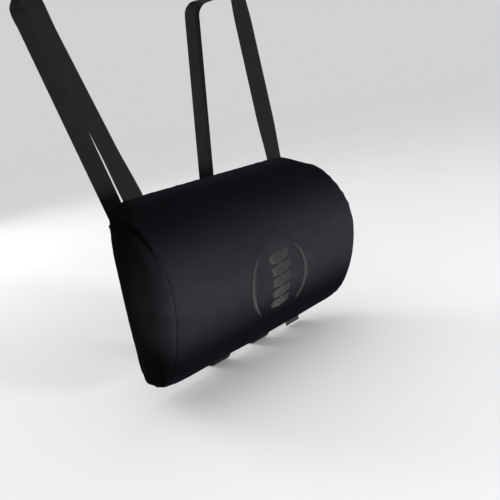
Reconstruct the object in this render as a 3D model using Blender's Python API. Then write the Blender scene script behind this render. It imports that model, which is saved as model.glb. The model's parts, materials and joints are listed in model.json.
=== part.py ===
"""Lumbar support cushion with two strap loops, side-release buckles and a zipped cover.

Axes: +X across the width, to the sitter's left, +Y towards the backrest, +Z up.
The origin is on the cushion's flat back face, level with the deepest point of its front.
"""

import math

import bmesh
import bpy
from mathutils import Matrix, Vector

GAP = 0.0003  # clearance between pieces that touch
BITE = 0.0002  # overlap of shapes that are joined into one

# Cushion: a D-shaped bolster, flat at the back and crowned at the front
WIDTH = 0.340  # between the two end seams
DEPTH = 0.100
HEIGHT_UP = 0.105  # from the deepest level to the top
HEIGHT_DOWN = 0.128  # from the deepest level to the bottom
UPPER_EXPONENTS = (2.25, 1.37)  # of z and y in the upper quarter's curve
LOWER_EXPONENTS = (1.51, 2.62)  # and in the lower quarter's, which is squarer
OUTLINE_STEPS = 18  # in each quarter
END_BULGE = 0.014
END_RINGS = (1.0, 0.94, 0.84, 0.68, 0.46, 0.22)
END_CENTRE = (-0.045, -0.008)  # y and z that the end panels crown about
COVER = 0.002  # velour with its backing
LINER = 0.001
LINER_INSET = COVER + 0.0006
FOAM_INSET = LINER_INSET + LINER + 0.0004

# Zip across the back
ZIP_Z = -0.062
ZIP_OPENING = 0.005  # half the opening between the hems
HEM = 0.0048
HEM_HEIGHT = 0.010
TAPE = 0.0006
TAPE_REACH = 0.013
TAPE_MIDDLE = 0.0009  # half the gap between the two tapes
COIL_THICKNESS = 0.0016
COIL_REACH = 0.0032
COIL_END = 0.148
STOP_LENGTH = 0.0037
STOP_REACH = 0.0034
ZIP_GROOVE = (0.018, 0.0085)  # half height and depth of the hollow behind the zip
SLIDER_X = 0.141
SLIDER = (0.010, 0.0080)  # length and height
SLIDER_PLATE = 0.0012
BRIDGE = (0.0035, 0.0010)
EAR_X = (0.0016, 0.0044)  # from the slider's middle
EAR_Z = (0.0028, 0.0036)
PULL = (0.022, 0.0048)
PULL_THICKNESS = 0.0009
PULL_PIVOT = (0.0030, -0.0008)  # x from the slider's middle, and y

# Straps of 30 mm webbing
WEBBING = 0.030
WEBBING_THICKNESS = 0.0016
TAIL = 0.012  # length sewn into the seam
TAIL_Y = -0.0034
SLOT = (0.0316, 0.0046, 0.0150)  # opening left for a tail in the seam
UPPER_X = 0.127
LEAN = (0.165, 0.229)  # outwards and backwards for each metre up
TWIST = math.radians(12)  # the run turns its face towards the middle
FRONT_RUN = 0.245
REAR_TOP = Vector((0.140, 0.125, 0.345))
REAR_BOTTOM = Vector((0.040, 0.088, -0.147))
EDGE_RADIUS = 0.018
SEAM_RADIUS = 0.012

# Side-release buckle and tri-glide, in a frame that runs up the rear strap
BUCKLE_DOWN = 0.366  # from the rear top corner to the buckle's parting line
GLIDE_UP = 0.069  # from the parting line to the tri-glide's middle
BUCKLE_PLANE = -0.0031  # of the buckle's middle, behind the webbing's own plane
BUCKLE_WIDTH = 0.039
BUCKLE_THICKNESS = 0.0115
RAIL_THICKNESS = 0.008
SLOT_HALF = 0.016
BAR_RADIUS = 0.0019
MOULD_EDGE = 0.0012  # rounding of the moulded edges
PLUG_BAR = 0.0155
PLUG_TOP = 0.0180
PLUG_WINDOW = (0.0085, 0.0300)  # from below the bar to above the shoulders
STRAP_END = 0.006  # from the plug's bar to the upper strap's raw end
SOCKET_HEIGHT = 0.030
FORK_ROOT = 0.004  # length of the fork inside the socket
SOCKET_BAR = -0.0375
SOCKET_BOTTOM = -0.0410
CAVITY = (0.031, 0.0068, 0.025)
WINDOW = (0.0072, -0.0080, -0.0195)  # thickness, and from top to bottom
TONGUE = (0.009, 0.0048, 0.022)
ARM_THICKNESS = 0.0058
ARM_PIVOT = 0.0122
TURN_RADIUS = 0.0031  # of the webbing's middle round a buckle bar
GLIDE_BAR = (0.0015, -0.0045)  # radius and place of the tri-glide's middle bar
GLIDE_TURN = 0.0026
GLIDE_HALF = (0.0188, 0.0115)
GLIDE_DEPTH = (-0.0063, 0.0026)
GLIDE_RAIL = 0.0035  # of the outer bars, along the strap
RETURN_LEG = (0.0200, 0.0105, 0.0030, 0.0170)  # below the tri-glide: its two bends, its turn and its sewn end
LOOP_LEG = (0.0200, 0.0105, 0.0030)  # below the socket's bar: sewn end, bend out and bend in
HARDWARE_FOOT = -0.065  # below this the strap is free of the buckle

# Emblem: a column of vertebrae between two arcs, raised on the front
EMBLEM_ARC = 0.190  # from the top rear edge, round the front, to the emblem's middle
EMBLEM_RAISE = 0.0006

# Care label, blank: width, length and thickness
LABEL = (0.030, 0.018, 0.0008)
LABEL_X = 0.095
LABEL_Y = -0.0014


def clear_scene():
    """Removes every object of the startup scene."""
    for item in list(bpy.data.objects):
        bpy.data.objects.remove(item, do_unlink=True)


def material(name, colour, roughness, metallic=0.0):
    """A Principled material, made once."""
    made = bpy.data.materials.get(name)
    if made is None:
        made = bpy.data.materials.new(name)
        made.use_nodes = True
        shader = made.node_tree.nodes["Principled BSDF"]
        shader.inputs["Base Color"].default_value = (*colour, 1.0)
        shader.inputs["Roughness"].default_value = roughness
        shader.inputs["Metallic"].default_value = metallic
        made.diffuse_color = (*colour, 1.0)
    return made


def velour():
    return material("velour", (0.020, 0.020, 0.024), 0.85)


def webbing():
    return material("webbing", (0.024, 0.022, 0.021), 0.75)


def buckle_plastic():
    return material("buckle_plastic", (0.012, 0.012, 0.013), 0.45)


def finish(name, bm, look, sharp_angle=None, parent=None):
    """Makes an object of a bmesh, with its faces pointing out."""
    bmesh.ops.remove_doubles(bm, verts=bm.verts, dist=1e-6)
    bmesh.ops.recalc_face_normals(bm, faces=bm.faces)
    mesh = bpy.data.meshes.new(name)
    bm.to_mesh(mesh)
    bm.free()
    mesh.materials.append(look)
    if sharp_angle is not None:
        mesh.shade_smooth()
        mesh.set_sharp_from_angle(angle=sharp_angle)
    made = bpy.data.objects.new(name, mesh)
    bpy.context.scene.collection.objects.link(made)
    made.parent = parent
    return made


def box(bm, low, high):
    """Adds a closed box between two corners."""
    low, high = Vector(low), Vector(high)
    size = Matrix.Diagonal((*(high - low), 1.0))
    bmesh.ops.create_cube(bm, size=1.0, matrix=Matrix.Translation((low + high) / 2) @ size)


def rod_along_x(bm, y, z, radius, half_length, sides=16):
    """Adds a round bar that lies along X."""
    turn = Matrix.Rotation(math.pi / 2, 4, "Y")
    bmesh.ops.create_cone(
        bm,
        cap_ends=True,
        segments=sides,
        radius1=radius,
        radius2=radius,
        depth=2 * half_length,
        matrix=Matrix.Translation((0, y, z)) @ turn,
    )


def cut(target, cutter, operation="DIFFERENCE"):
    """Boolean of one object on another. The cutter stays hidden."""
    cutter.hide_render = True
    cutter.display_type = "WIRE"
    change = target.modifiers.new(f"{operation.lower()} {cutter.name}", "BOOLEAN")
    change.operation = operation
    change.object = cutter
    change.solver = "EXACT"


def boolean_tool(name, parent=None):
    """A hidden helper, made from a bmesh by the function that this returns."""

    def make(fill):
        bm = bmesh.new()
        fill(bm)
        return finish(name, bm, buckle_plastic(), parent=parent)

    return make


def bevel_edges(bm, width, segments=2):
    """Rounds every edge of a bmesh."""
    bmesh.ops.bevel(
        bm,
        geom=bm.edges[:],
        offset=width,
        segments=segments,
        profile=0.5,
        affect="EDGES",
        clamp_overlap=True,
        material=-1,
    )


def front_curve(inset=0.0, steps=OUTLINE_STEPS):
    """(y, z) points from the top rear edge, round the front, to the bottom rear edge."""
    points = []
    for half, (height, powers) in enumerate(
        ((HEIGHT_UP, UPPER_EXPONENTS), (-HEIGHT_DOWN, LOWER_EXPONENTS))
    ):
        for i in range(half, steps + 1):
            share = 1 - i / steps if half == 0 else i / steps
            angle = share * math.pi / 2
            y = -DEPTH * math.cos(angle) ** (2 / powers[1]) if share < 1 else 0.0
            points.append(Vector((y, height * math.sin(angle) ** (2 / powers[0]))))
    if inset == 0:
        return points
    moved = []
    for i, point in enumerate(points):
        along = points[min(i + 1, len(points) - 1)] - points[max(i - 1, 0)]
        inward = Vector((-along.y, along.x)).normalized()
        moved.append(point + inset * inward)
    low, high = -HEIGHT_DOWN + inset, HEIGHT_UP - inset
    return [Vector((min(p.x, -inset), min(max(p.y, low), high))) for p in moved]


def closed_outline(inset, groove=0.0):
    """The whole outline at an inset, with its back line and the hollow behind the zip."""
    curve = front_curve(inset)
    bottom, top = curve[-1].y, curve[0].y
    back = [Vector((-inset, bottom)), Vector((-inset, top))]
    if groove:
        half = ZIP_GROOVE[0] + groove
        depth = -ZIP_GROOVE[1] - groove
        hollow = ((-inset, -half), (depth, -half), (depth, half), (-inset, half))
        back[1:1] = [Vector((y, ZIP_Z + z)) for y, z in hollow]

    return curve[2:-1] + back


def extrude_along_x(bm, outline, x_from, x_to):
    """A solid of a flat outline in Y and Z."""
    face = bm.faces.new([bm.verts.new((x_from, p.x, p.y)) for p in outline])
    moved = bmesh.ops.extrude_face_region(bm, geom=[face])["geom"]
    corners = [v for v in moved if isinstance(v, bmesh.types.BMVert)]
    bmesh.ops.translate(bm, verts=corners, vec=(x_to - x_from, 0, 0))


def shell_along_x(bm, outer, inner, x_from, x_to, closed=False):
    """A wall between two outlines with the same number of points."""
    rings = [
        [bm.verts.new((x, p.x, p.y)) for p in line]
        for x, line in ((x_from, outer), (x_to, outer), (x_to, inner), (x_from, inner))
    ]
    count = len(outer)
    for i in range(count if closed else count - 1):
        j = (i + 1) % count
        for a, b in zip(rings, rings[1:] + rings[:1]):
            bm.faces.new((a[i], a[j], b[j], b[i]))
    if not closed:
        for i in (0, count - 1):
            bm.faces.new([ring[i] for ring in rings])


def crown(share):
    """Height of the end crown, from 0 at the seam to 1 in the middle."""
    return (1 - share**2) ** 0.8


def dome(bm, outline, x_base, bulge, side):
    """Rings of an outline that shrink to a point over a crown. Returns the outer ring."""
    centre = Vector(END_CENTRE)
    rings = []
    for share in END_RINGS:
        x = side * (x_base + bulge * crown(share))
        points = [centre + (p - centre) * share for p in outline]
        rings.append([bm.verts.new((x, p.x, p.y)) for p in points])
    tip = bm.verts.new((side * (x_base + bulge), centre.x, centre.y))
    count = len(outline)
    for i in range(count):
        j = (i + 1) % count
        for a, b in zip(rings, rings[1:]):
            bm.faces.new((a[i], a[j], b[j], b[i]))
        bm.faces.new((rings[-1][i], rings[-1][j], tip))
    return rings[0]


def join_rings(bm, a, b):
    """A wall between two rings."""
    for i in range(len(a)):
        j = (i + 1) % len(a)
        bm.faces.new((a[i], a[j], b[j], b[i]))


def make_cover():
    """Front panel, end panels and the two back panels with their zip hems."""
    half = WIDTH / 2 - COVER - GAP
    bm = bmesh.new()
    outer = [Vector((min(p.x, -COVER - GAP), p.y)) for p in front_curve()]
    inner = [Vector((min(p.x, -COVER - GAP), p.y)) for p in front_curve(COVER)]
    shell_along_x(bm, outer, inner, -half, half)
    front = finish("front_panel", bm, velour(), math.radians(30))

    outline = closed_outline(0.0)
    for name, side in (("left_end_panel", -1), ("right_end_panel", 1)):
        bm = bmesh.new()
        outside = dome(bm, outline, WIDTH / 2, END_BULGE, side)
        inside = dome(bm, outline, WIDTH / 2 - COVER, END_BULGE, side)
        join_rings(bm, outside, inside)
        finish(name, bm, velour(), math.radians(40))

    for name, way, edge in (("back_panel_upper", 1, HEIGHT_UP), ("back_panel_lower", -1, -HEIGHT_DOWN)):
        hem_from = ZIP_Z + way * ZIP_OPENING
        hem_to = hem_from + way * HEM_HEIGHT
        panel = ((0, hem_from), (0, edge), (-COVER, edge), (-COVER, hem_to))
        hem = ((-HEM, hem_to), (-HEM, hem_from))
        bm = bmesh.new()
        extrude_along_x(bm, [Vector(p) for p in panel + hem], -half, half)
        finish(name, bm, velour())
    return front


def make_filling():
    """The sleeve over the foam, open at both ends, and the foam block."""
    half = WIDTH / 2 - COVER - 2 * GAP
    bm = bmesh.new()
    shell_along_x(
        bm,
        closed_outline(LINER_INSET, groove=1e-4),
        closed_outline(LINER_INSET + LINER, groove=LINER),
        -half + 2 * GAP,
        half - 2 * GAP,
        closed=True,
    )
    liner = finish("inner_liner", bm, material("liner_cloth", (0.62, 0.62, 0.60), 0.9))

    bm = bmesh.new()
    outline = closed_outline(FOAM_INSET, groove=LINER + 0.0004)
    ends = [dome(bm, outline, half - GAP, END_BULGE - GAP, side) for side in (-1, 1)]
    join_rings(bm, *ends)
    foam = finish("foam_core", bm, material("foam", (0.72, 0.70, 0.60), 0.95))
    return liner, foam


def open_strap_slots(front, liner, foam):
    """Openings for the four strap tails in the top and bottom rear seams."""
    width, depth, length = SLOT
    for name, x, edge, inward in (
        ("upper_left_slot", -UPPER_X, HEIGHT_UP, -1),
        ("upper_right_slot", UPPER_X, HEIGHT_UP, -1),
        ("lower_left_slot", -REAR_BOTTOM.x, -HEIGHT_DOWN, 1),
        ("lower_right_slot", REAR_BOTTOM.x, -HEIGHT_DOWN, 1),
    ):
        ends = sorted((edge + inward * length, edge - inward * length))
        bm = bmesh.new()
        box(bm, (x - width / 2, -depth, ends[0]), (x + width / 2, 0.001, ends[1]))
        slot = finish(name, bm, velour())
        for target in (front, liner, foam):
            cut(target, slot)


def make_zip():
    """Tapes, coils, end stops, slider and pull tab, all below the back face."""
    tape_look = material("zip_tape", (0.015, 0.015, 0.017), 0.8)
    coil_look = material("zip_coil", (0.018, 0.018, 0.020), 0.4)
    metal = material("zip_metal", (0.10, 0.10, 0.11), 0.35, 0.9)
    half = WIDTH / 2 - COVER - GAP
    tape_top = -HEM - GAP
    coil_low = tape_top + GAP
    coil_top = coil_low + COIL_THICKNESS
    for word, way in (("upper", 1), ("lower", -1)):
        for name, x_range, y_range, z_range, look in (
            ("zip_tape", (-half, half), (tape_top - TAPE, tape_top), (TAPE_MIDDLE, TAPE_REACH), tape_look),
            ("zip_coil", (-COIL_END, COIL_END), (coil_low, coil_top), (TAPE_MIDDLE, COIL_REACH), coil_look),
            (
                "zip_top_stop",
                (COIL_END + GAP, COIL_END + STOP_LENGTH),
                (coil_low, coil_top),
                (TAPE_MIDDLE, STOP_REACH),
                metal,
            ),
        ):
            z = sorted(ZIP_Z + way * value for value in z_range)
            bm = bmesh.new()
            box(bm, (x_range[0], y_range[0], z[0]), (x_range[1], y_range[1], z[1]))
            finish(f"{name}_{word}", bm, look)
    bm = bmesh.new()
    box(
        bm,
        (-COIL_END - STOP_LENGTH, coil_low, ZIP_Z - STOP_REACH),
        (-COIL_END - GAP, coil_top, ZIP_Z + STOP_REACH),
    )
    finish("zip_bottom_stop", bm, metal)

    place = bpy.data.objects.new("zip_slider_place", None)
    bpy.context.scene.collection.objects.link(place)
    place.location = (SLIDER_X, 0, ZIP_Z)
    length, height = SLIDER
    plate_low = coil_top + GAP
    plate_top = plate_low + SLIDER_PLATE
    under_top = tape_top - TAPE - GAP
    bm = bmesh.new()
    box(bm, (-length / 2, plate_low, -height / 2), (length / 2, plate_top, height / 2))
    bevel_edges(bm, 0.0004, 1)
    slider = finish("zip_slider", bm, metal, math.radians(40), place)
    bridge = BRIDGE[1] / 2
    under = (under_top - SLIDER_PLATE, under_top)
    post = (under_top - BITE, plate_low + BITE)
    ear = (plate_top - BITE, -GAP)
    for name, xs, ys, zs in (
        ("slider_under_plate", (-length / 2, length / 2), under, (-height / 2, height / 2)),
        ("slider_bridge", (0, BRIDGE[0]), post, (-bridge, bridge)),
        ("slider_ear_upper", EAR_X, ear, EAR_Z),
        ("slider_ear_lower", EAR_X, ear, (-EAR_Z[1], -EAR_Z[0])),
    ):
        bm = bmesh.new()
        box(bm, (xs[0], ys[0], zs[0]), (xs[1], ys[1], zs[1]))
        cut(slider, finish(name, bm, metal, parent=place), "UNION")

    pivot = bpy.data.objects.new("zip_pull_pivot", None)
    bpy.context.scene.collection.objects.link(pivot)
    pivot.parent = place
    pivot.location = (PULL_PIVOT[0], PULL_PIVOT[1], 0)
    bm = bmesh.new()
    bmesh.ops.create_cone(
        bm,
        cap_ends=True,
        segments=12,
        radius1=0.0006,
        radius2=0.0006,
        depth=PULL[1],
    )
    pull = finish("zip_pull", bm, metal, math.radians(40), pivot)
    bm = bmesh.new()
    thick = PULL_THICKNESS / 2
    box(bm, (-PULL[0], -thick, -PULL[1] / 2), (0, thick, PULL[1] / 2))
    ends = [e for e in bm.edges if abs(e.verts[0].co.y - e.verts[1].co.y) > thick and e.verts[0].co.x < -0.01]
    bmesh.ops.bevel(
        bm, geom=ends, offset=0.0018, segments=4, profile=0.5, affect="EDGES", clamp_overlap=True, material=-1
    )
    cut(pull, finish("zip_pull_tab", bm, metal, parent=pivot), "UNION")


def surface_frame():
    """A function from arc length down the front to (y, z, outward normal)."""
    curve = front_curve(steps=200)
    lengths = [0.0]
    for a, b in zip(curve, curve[1:]):
        lengths.append(lengths[-1] + (b - a).length)

    def at(arc):
        i = next(k for k, value in enumerate(lengths[1:]) if value >= arc)
        share = (arc - lengths[i]) / (lengths[i + 1] - lengths[i])
        along = (curve[i + 1] - curve[i]).normalized()
        point = curve[i].lerp(curve[i + 1], share)
        return point, Vector((along.y, -along.x))

    return at


def raised_band(name, centreline, half_width):
    """A thin raised band on the front, along (x, arc) points with a half width at each."""
    at = surface_frame()
    bm = bmesh.new()
    rings = []
    for i, (x, arc) in enumerate(centreline):
        before, after = centreline[max(i - 1, 0)], centreline[min(i + 1, len(centreline) - 1)]
        along = Vector((after[0] - before[0], after[1] - before[1])).normalized()
        across = Vector((-along.y, along.x)) * half_width[i]
        ring = []
        for side, lift in ((-1, GAP), (1, GAP), (1, GAP + EMBLEM_RAISE), (-1, GAP + EMBLEM_RAISE)):
            point, normal = at(arc + side * across.y)
            place = point + normal * lift
            ring.append(bm.verts.new((x + side * across.x, place.x, place.y)))
        rings.append(ring)
    for a, b in zip(rings, rings[1:]):
        join_rings(bm, a, b)
    bm.faces.new(rings[0])
    bm.faces.new(rings[-1])
    finish(name, bm, material("emblem_thread", (0.035, 0.031, 0.033), 0.6))


def make_emblem():
    """A column of five vertebrae, and an arc on each side of it."""
    count, height, per_bone = 5, 0.076, 12
    steps = count * per_bone
    line, widths = [], []
    for i in range(steps + 1):
        share = i / steps
        line.append((0.0, EMBLEM_ARC + (share - 0.5) * height))
        place = abs(2 * (i % per_bone) / per_bone - 1) if i < steps else 1.0
        bone = math.sqrt(max(0.0, 1 - (place / 0.86) ** 4))
        widths.append(0.0022 + (0.0185 - 0.0045 * share) * bone)
    raised_band("emblem_spine", line, widths)
    for name, side in (("emblem_arc_left", -1), ("emblem_arc_right", 1)):
        line, widths = [], []
        for i in range(25):
            angle = math.radians(-50 + 100 * i / 24)
            line.append((side * (0.004 + 0.046 * math.cos(angle)), EMBLEM_ARC + 0.050 * math.sin(angle)))
            widths.append(0.0008 + 0.0034 * math.cos(math.radians(-86 + 172 * i / 24)))
        raised_band(name, line, widths)


def make_label():
    """A blank folded care label that hangs from the bottom rear seam."""
    bm = bmesh.new()
    top = -HEIGHT_DOWN - GAP
    box(bm, (LABEL_X, LABEL_Y, top - LABEL[1]), (LABEL_X + LABEL[0], LABEL_Y + LABEL[2], top))
    finish("care_label", bm, material("label_satin", (0.035, 0.035, 0.036), 0.5))


def rounded_path(corners, radii, step=math.radians(15)):
    """Points along straight runs whose corners are arcs of the given radii."""
    points = [corners[0]]
    for i, radius in enumerate(radii, start=1):
        corner = corners[i]
        back = (corners[i - 1] - corner).normalized()
        on = (corners[i + 1] - corner).normalized()
        turn = math.pi - back.angle(on)
        if turn < 1e-4 or radius == 0:
            points.append(corner)
            continue
        reach = radius * math.tan(turn / 2)
        centre = corner + (back + on).normalized() * (radius / math.cos(turn / 2))
        start = corner + back * reach - centre
        axis = back.cross(on).normalized()
        arcs = max(2, math.ceil(turn / step))
        for k in range(arcs + 1):
            spin = Matrix.Rotation(-turn * k / arcs, 3, axis)
            points.append(centre + spin @ start)
    points.append(corners[-1])
    return points[:1] + [b for a, b in zip(points, points[1:]) if (b - a).length > 1e-5]


def ribbon(name, points, across=None, look=None):
    """Webbing along a path. across gives a point's own width direction, X by default."""
    bm = bmesh.new()
    rings = []
    for i, point in enumerate(points):
        ahead = points[min(i + 1, len(points) - 1)] - point
        behind = point - points[max(i - 1, 0)]
        along = (ahead.normalized() if ahead.length else Vector()) + (
            behind.normalized() if behind.length else Vector()
        )
        along.normalize()
        wide = across(point) if across else Vector((1, 0, 0))
        wide = (wide - along * wide.dot(along)).normalized()
        normal = along.cross(wide)
        ring = []
        for w, n in ((-1, -1), (1, -1), (1, 1), (-1, 1)):
            offset = wide * (w * WEBBING / 2) + normal * (n * WEBBING_THICKNESS / 2)
            ring.append(bm.verts.new(point + offset))
        rings.append(ring)
    for a, b in zip(rings, rings[1:]):
        join_rings(bm, a, b)
    bm.faces.new(rings[0])
    bm.faces.new(rings[-1])
    return finish(name, bm, look or webbing(), math.radians(40))


def rear_frame(side):
    """The frame up the rear strap, with its origin at the buckle's parting line."""
    top = Vector((side * REAR_TOP.x, REAR_TOP.y, REAR_TOP.z))
    bottom = Vector((side * REAR_BOTTOM.x, REAR_BOTTOM.y, REAR_BOTTOM.z))
    up = (top - bottom).normalized()
    across = (Vector((1, 0, 0)) - up * up.x).normalized()
    out = up.cross(across)
    turn = Matrix((across, out, up)).transposed().to_4x4()
    return Matrix.Translation(top - up * BUCKLE_DOWN) @ turn


def square_to_buckle(side):
    """Width direction of webbing that turns round a buckle bar, and along X below it."""
    frame = rear_frame(side)
    place = frame.inverted()
    level = frame.col[0].to_3d()

    def across(point):
        return level if (place @ point).z > HARDWARE_FOOT else Vector((1, 0, 0))

    return across


def twisted(side):
    """Width direction along the upper strap: square at the seam and at the top."""
    at_buckle = square_to_buckle(side)

    def across(point):
        if point.y > REAR_BOTTOM.y and point.z < HEIGHT_UP:
            return at_buckle(point)
        rise = (point.z - HEIGHT_UP) / 0.060
        fall = (HEIGHT_UP + FRONT_RUN - point.z) / 0.050
        behind = (0.085 - point.y) / 0.020
        share = max(0.0, min(1.0, rise, fall, behind))
        angle = TWIST * share * share * (3 - 2 * share)
        return Vector((math.cos(angle), -side * math.sin(angle), 0))

    return across


def make_upper_strap(word, side):
    """From the top seam, up the backrest and over, then down to the plug's bar."""
    frame = rear_frame(side)
    root = Vector((side * UPPER_X, TAIL_Y, HEIGHT_UP))
    lean = Vector((side * LEAN[0], LEAN[1], 1.0))
    local = [
        Vector((0, 0, PLUG_BAR - TURN_RADIUS)),
        Vector((0, -2 * TURN_RADIUS, PLUG_BAR - TURN_RADIUS)),
        Vector((0, -2 * TURN_RADIUS, PLUG_BAR + STRAP_END)),
    ]
    front = [root + lean * (FRONT_RUN * i / 8) for i in range(1, 9)]
    corners = [
        root - Vector((0, 0, TAIL)),
        root,
        *front,
        Vector((side * REAR_TOP.x, REAR_TOP.y, REAR_TOP.z)),
        *[frame @ p for p in local],
    ]
    radii = [SEAM_RADIUS, *[0] * 7, EDGE_RADIUS, EDGE_RADIUS, TURN_RADIUS, TURN_RADIUS]
    ribbon(f"{word}_upper_strap", rounded_path(corners, radii), twisted(side))


def make_strap_return(word, side):
    """The leg doubled back from the plug's bar, sewn round the tri-glide's middle bar."""
    frame = rear_frame(side)
    radius, depth = GLIDE_BAR
    inner, outer = depth - GLIDE_TURN, depth + GLIDE_TURN
    beside = outer - WEBBING_THICKNESS - GAP
    corners = [
        Vector((0, -2 * TURN_RADIUS, PLUG_BAR + STRAP_END + GAP)),
        Vector((0, beside, GLIDE_UP - RETURN_LEG[0])),
        Vector((0, beside, GLIDE_UP - RETURN_LEG[1])),
        Vector((0, inner, GLIDE_UP - RETURN_LEG[2])),
        Vector((0, inner, GLIDE_UP + GLIDE_TURN)),
        Vector((0, outer, GLIDE_UP + GLIDE_TURN)),
        Vector((0, outer, GLIDE_UP - RETURN_LEG[3])),
    ]
    radii = [0.003, 0.002, 0.002, GLIDE_TURN, GLIDE_TURN]
    points = [frame @ p for p in rounded_path(corners, radii)]
    ribbon(f"{word}_strap_return", points, square_to_buckle(side))


def make_lower_strap(word, side):
    """Elastic strap: a sewn loop on the socket's bar, under the backrest, to the bottom seam."""
    frame = rear_frame(side)
    near = -WEBBING_THICKNESS - GAP
    local = [
        Vector((0, near, SOCKET_BAR - LOOP_LEG[0])),
        Vector((0, near, SOCKET_BAR - LOOP_LEG[1])),
        Vector((0, -2 * TURN_RADIUS, SOCKET_BAR - LOOP_LEG[2])),
        Vector((0, -2 * TURN_RADIUS, SOCKET_BAR + TURN_RADIUS)),
        Vector((0, 0, SOCKET_BAR + TURN_RADIUS)),
    ]
    foot = Vector((side * REAR_BOTTOM.x, REAR_BOTTOM.y, REAR_BOTTOM.z))
    end = Vector((side * REAR_BOTTOM.x, TAIL_Y, REAR_BOTTOM.z))
    corners = [*[frame @ p for p in local], foot, end, Vector((end.x, end.y, -HEIGHT_DOWN + TAIL))]
    radii = [0.002, 0.002, TURN_RADIUS, TURN_RADIUS, EDGE_RADIUS, SEAM_RADIUS]
    look = material("elastic", (0.022, 0.021, 0.021), 0.8)
    ribbon(f"{word}_lower_strap", rounded_path(corners, radii), square_to_buckle(side), look)


def make_plug(word, place):
    """Shoulders with a bar for the webbing above, and a guide tongue below."""
    bm = bmesh.new()
    half = BUCKLE_WIDTH / 2 - 0.0005
    box(bm, (-half, -RAIL_THICKNESS / 2, 0), (half, RAIL_THICKNESS / 2, PLUG_TOP))
    bevel_edges(bm, MOULD_EDGE)
    plug = finish(f"{word}_buckle_plug", bm, buckle_plastic(), math.radians(40), place)

    def window(bm):
        box(bm, (-SLOT_HALF, -0.01, PLUG_WINDOW[0]), (SLOT_HALF, 0.01, PLUG_WINDOW[1]))

    def bar(bm):
        rod_along_x(bm, 0, PLUG_BAR, BAR_RADIUS, SLOT_HALF + 0.0015)

    def tongue(bm):
        width, thickness, length = TONGUE
        box(bm, (-width / 2, -thickness / 2, -length), (width / 2, thickness / 2, 0.0030))
        bevel_edges(bm, 0.0010)

    cut(plug, boolean_tool(f"{word}_plug_window", place)(window))
    cut(plug, boolean_tool(f"{word}_plug_bar", place)(bar), "UNION")
    cut(plug, boolean_tool(f"{word}_plug_tongue", place)(tongue), "UNION")


def make_socket(word, place):
    """A hollow body with side windows for the latches, and a bar for the strap below."""
    bm = bmesh.new()
    half = BUCKLE_WIDTH / 2
    thick = BUCKLE_THICKNESS / 2
    box(bm, (-half, -thick, -SOCKET_HEIGHT), (half, thick, -GAP))
    bevel_edges(bm, 0.0016, 3)
    socket = finish(f"{word}_buckle_socket", bm, buckle_plastic(), math.radians(40), place)

    def fork(bm):
        rail = RAIL_THICKNESS / 2
        box(bm, (-half, -rail, SOCKET_BOTTOM), (half, rail, -SOCKET_HEIGHT + FORK_ROOT))
        bevel_edges(bm, MOULD_EDGE)

    def strap_window(bm):
        box(bm, (-SLOT_HALF, -0.01, -0.0500), (SLOT_HALF, 0.01, -SOCKET_HEIGHT - 0.0015))

    def bar(bm):
        rod_along_x(bm, 0, SOCKET_BAR, BAR_RADIUS, SLOT_HALF + 0.0015)

    def cavity(bm):
        width, thickness, length = CAVITY
        box(bm, (-width / 2, -thickness / 2, -length), (width / 2, thickness / 2, 0.001))

    def side_windows(bm):
        thickness, high, low = WINDOW
        box(bm, (-0.03, -thickness / 2, low), (0.03, thickness / 2, high))

    cut(socket, boolean_tool(f"{word}_socket_fork", place)(fork), "UNION")
    cut(socket, boolean_tool(f"{word}_socket_strap_window", place)(strap_window))
    cut(socket, boolean_tool(f"{word}_socket_bar", place)(bar), "UNION")
    cut(socket, boolean_tool(f"{word}_socket_cavity", place)(cavity))
    cut(socket, boolean_tool(f"{word}_socket_windows", place)(side_windows))


def make_latch(name, place, side):
    """A springy arm with a barbed head that fills the socket's side window."""
    outline = (
        (-0.0020, -GAP),
        (0.0020, -GAP),
        (0.0024, -0.0074),
        (0.0024, -0.0086),
        (0.0060, -0.0086),
        (0.0072, -0.0100),
        (0.0070, -0.0140),
        (0.0052, -0.0178),
        (0.0028, -0.0191),
        (0.0018, -0.0215),
        (-0.0006, -0.0215),
        (-0.0008, -0.0120),
    )
    pivot = bpy.data.objects.new(f"{name}_pivot", None)
    bpy.context.scene.collection.objects.link(pivot)
    pivot.parent = place
    pivot.location = (side * ARM_PIVOT, 0, -GAP)
    bm = bmesh.new()
    half = ARM_THICKNESS / 2
    face = bm.faces.new([bm.verts.new((side * x, -half, z + GAP)) for x, z in outline])
    moved = bmesh.ops.extrude_face_region(bm, geom=[face])["geom"]
    corners = [v for v in moved if isinstance(v, bmesh.types.BMVert)]
    bmesh.ops.translate(bm, verts=corners, vec=(0, ARM_THICKNESS, 0))
    finish(name, bm, buckle_plastic(), parent=pivot)


def make_glide(word, place):
    """A tri-glide whose middle bar is on one side of the webbing, its outer bars on the other."""
    wide, high = GLIDE_HALF
    low, top = GLIDE_DEPTH
    bm = bmesh.new()
    box(bm, (-wide, low, -high), (wide, top, high))
    bevel_edges(bm, MOULD_EDGE)
    glide = finish(f"{word}_tri_glide", bm, buckle_plastic(), math.radians(40), place)
    inside = WEBBING_THICKNESS / 2 + GAP

    def channel(bm):
        box(bm, (-SLOT_HALF, -0.02, -0.02), (SLOT_HALF, inside, 0.02))

    def slots(bm):
        box(bm, (-SLOT_HALF, -0.02, -high + GLIDE_RAIL), (SLOT_HALF, 0.02, high - GLIDE_RAIL))

    def bar(bm):
        rod_along_x(bm, GLIDE_BAR[1], 0, GLIDE_BAR[0], SLOT_HALF + 0.0015)

    cut(glide, boolean_tool(f"{word}_glide_channel", place)(channel))
    cut(glide, boolean_tool(f"{word}_glide_slots", place)(slots))
    cut(glide, boolean_tool(f"{word}_glide_bar", place)(bar), "UNION")


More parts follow.
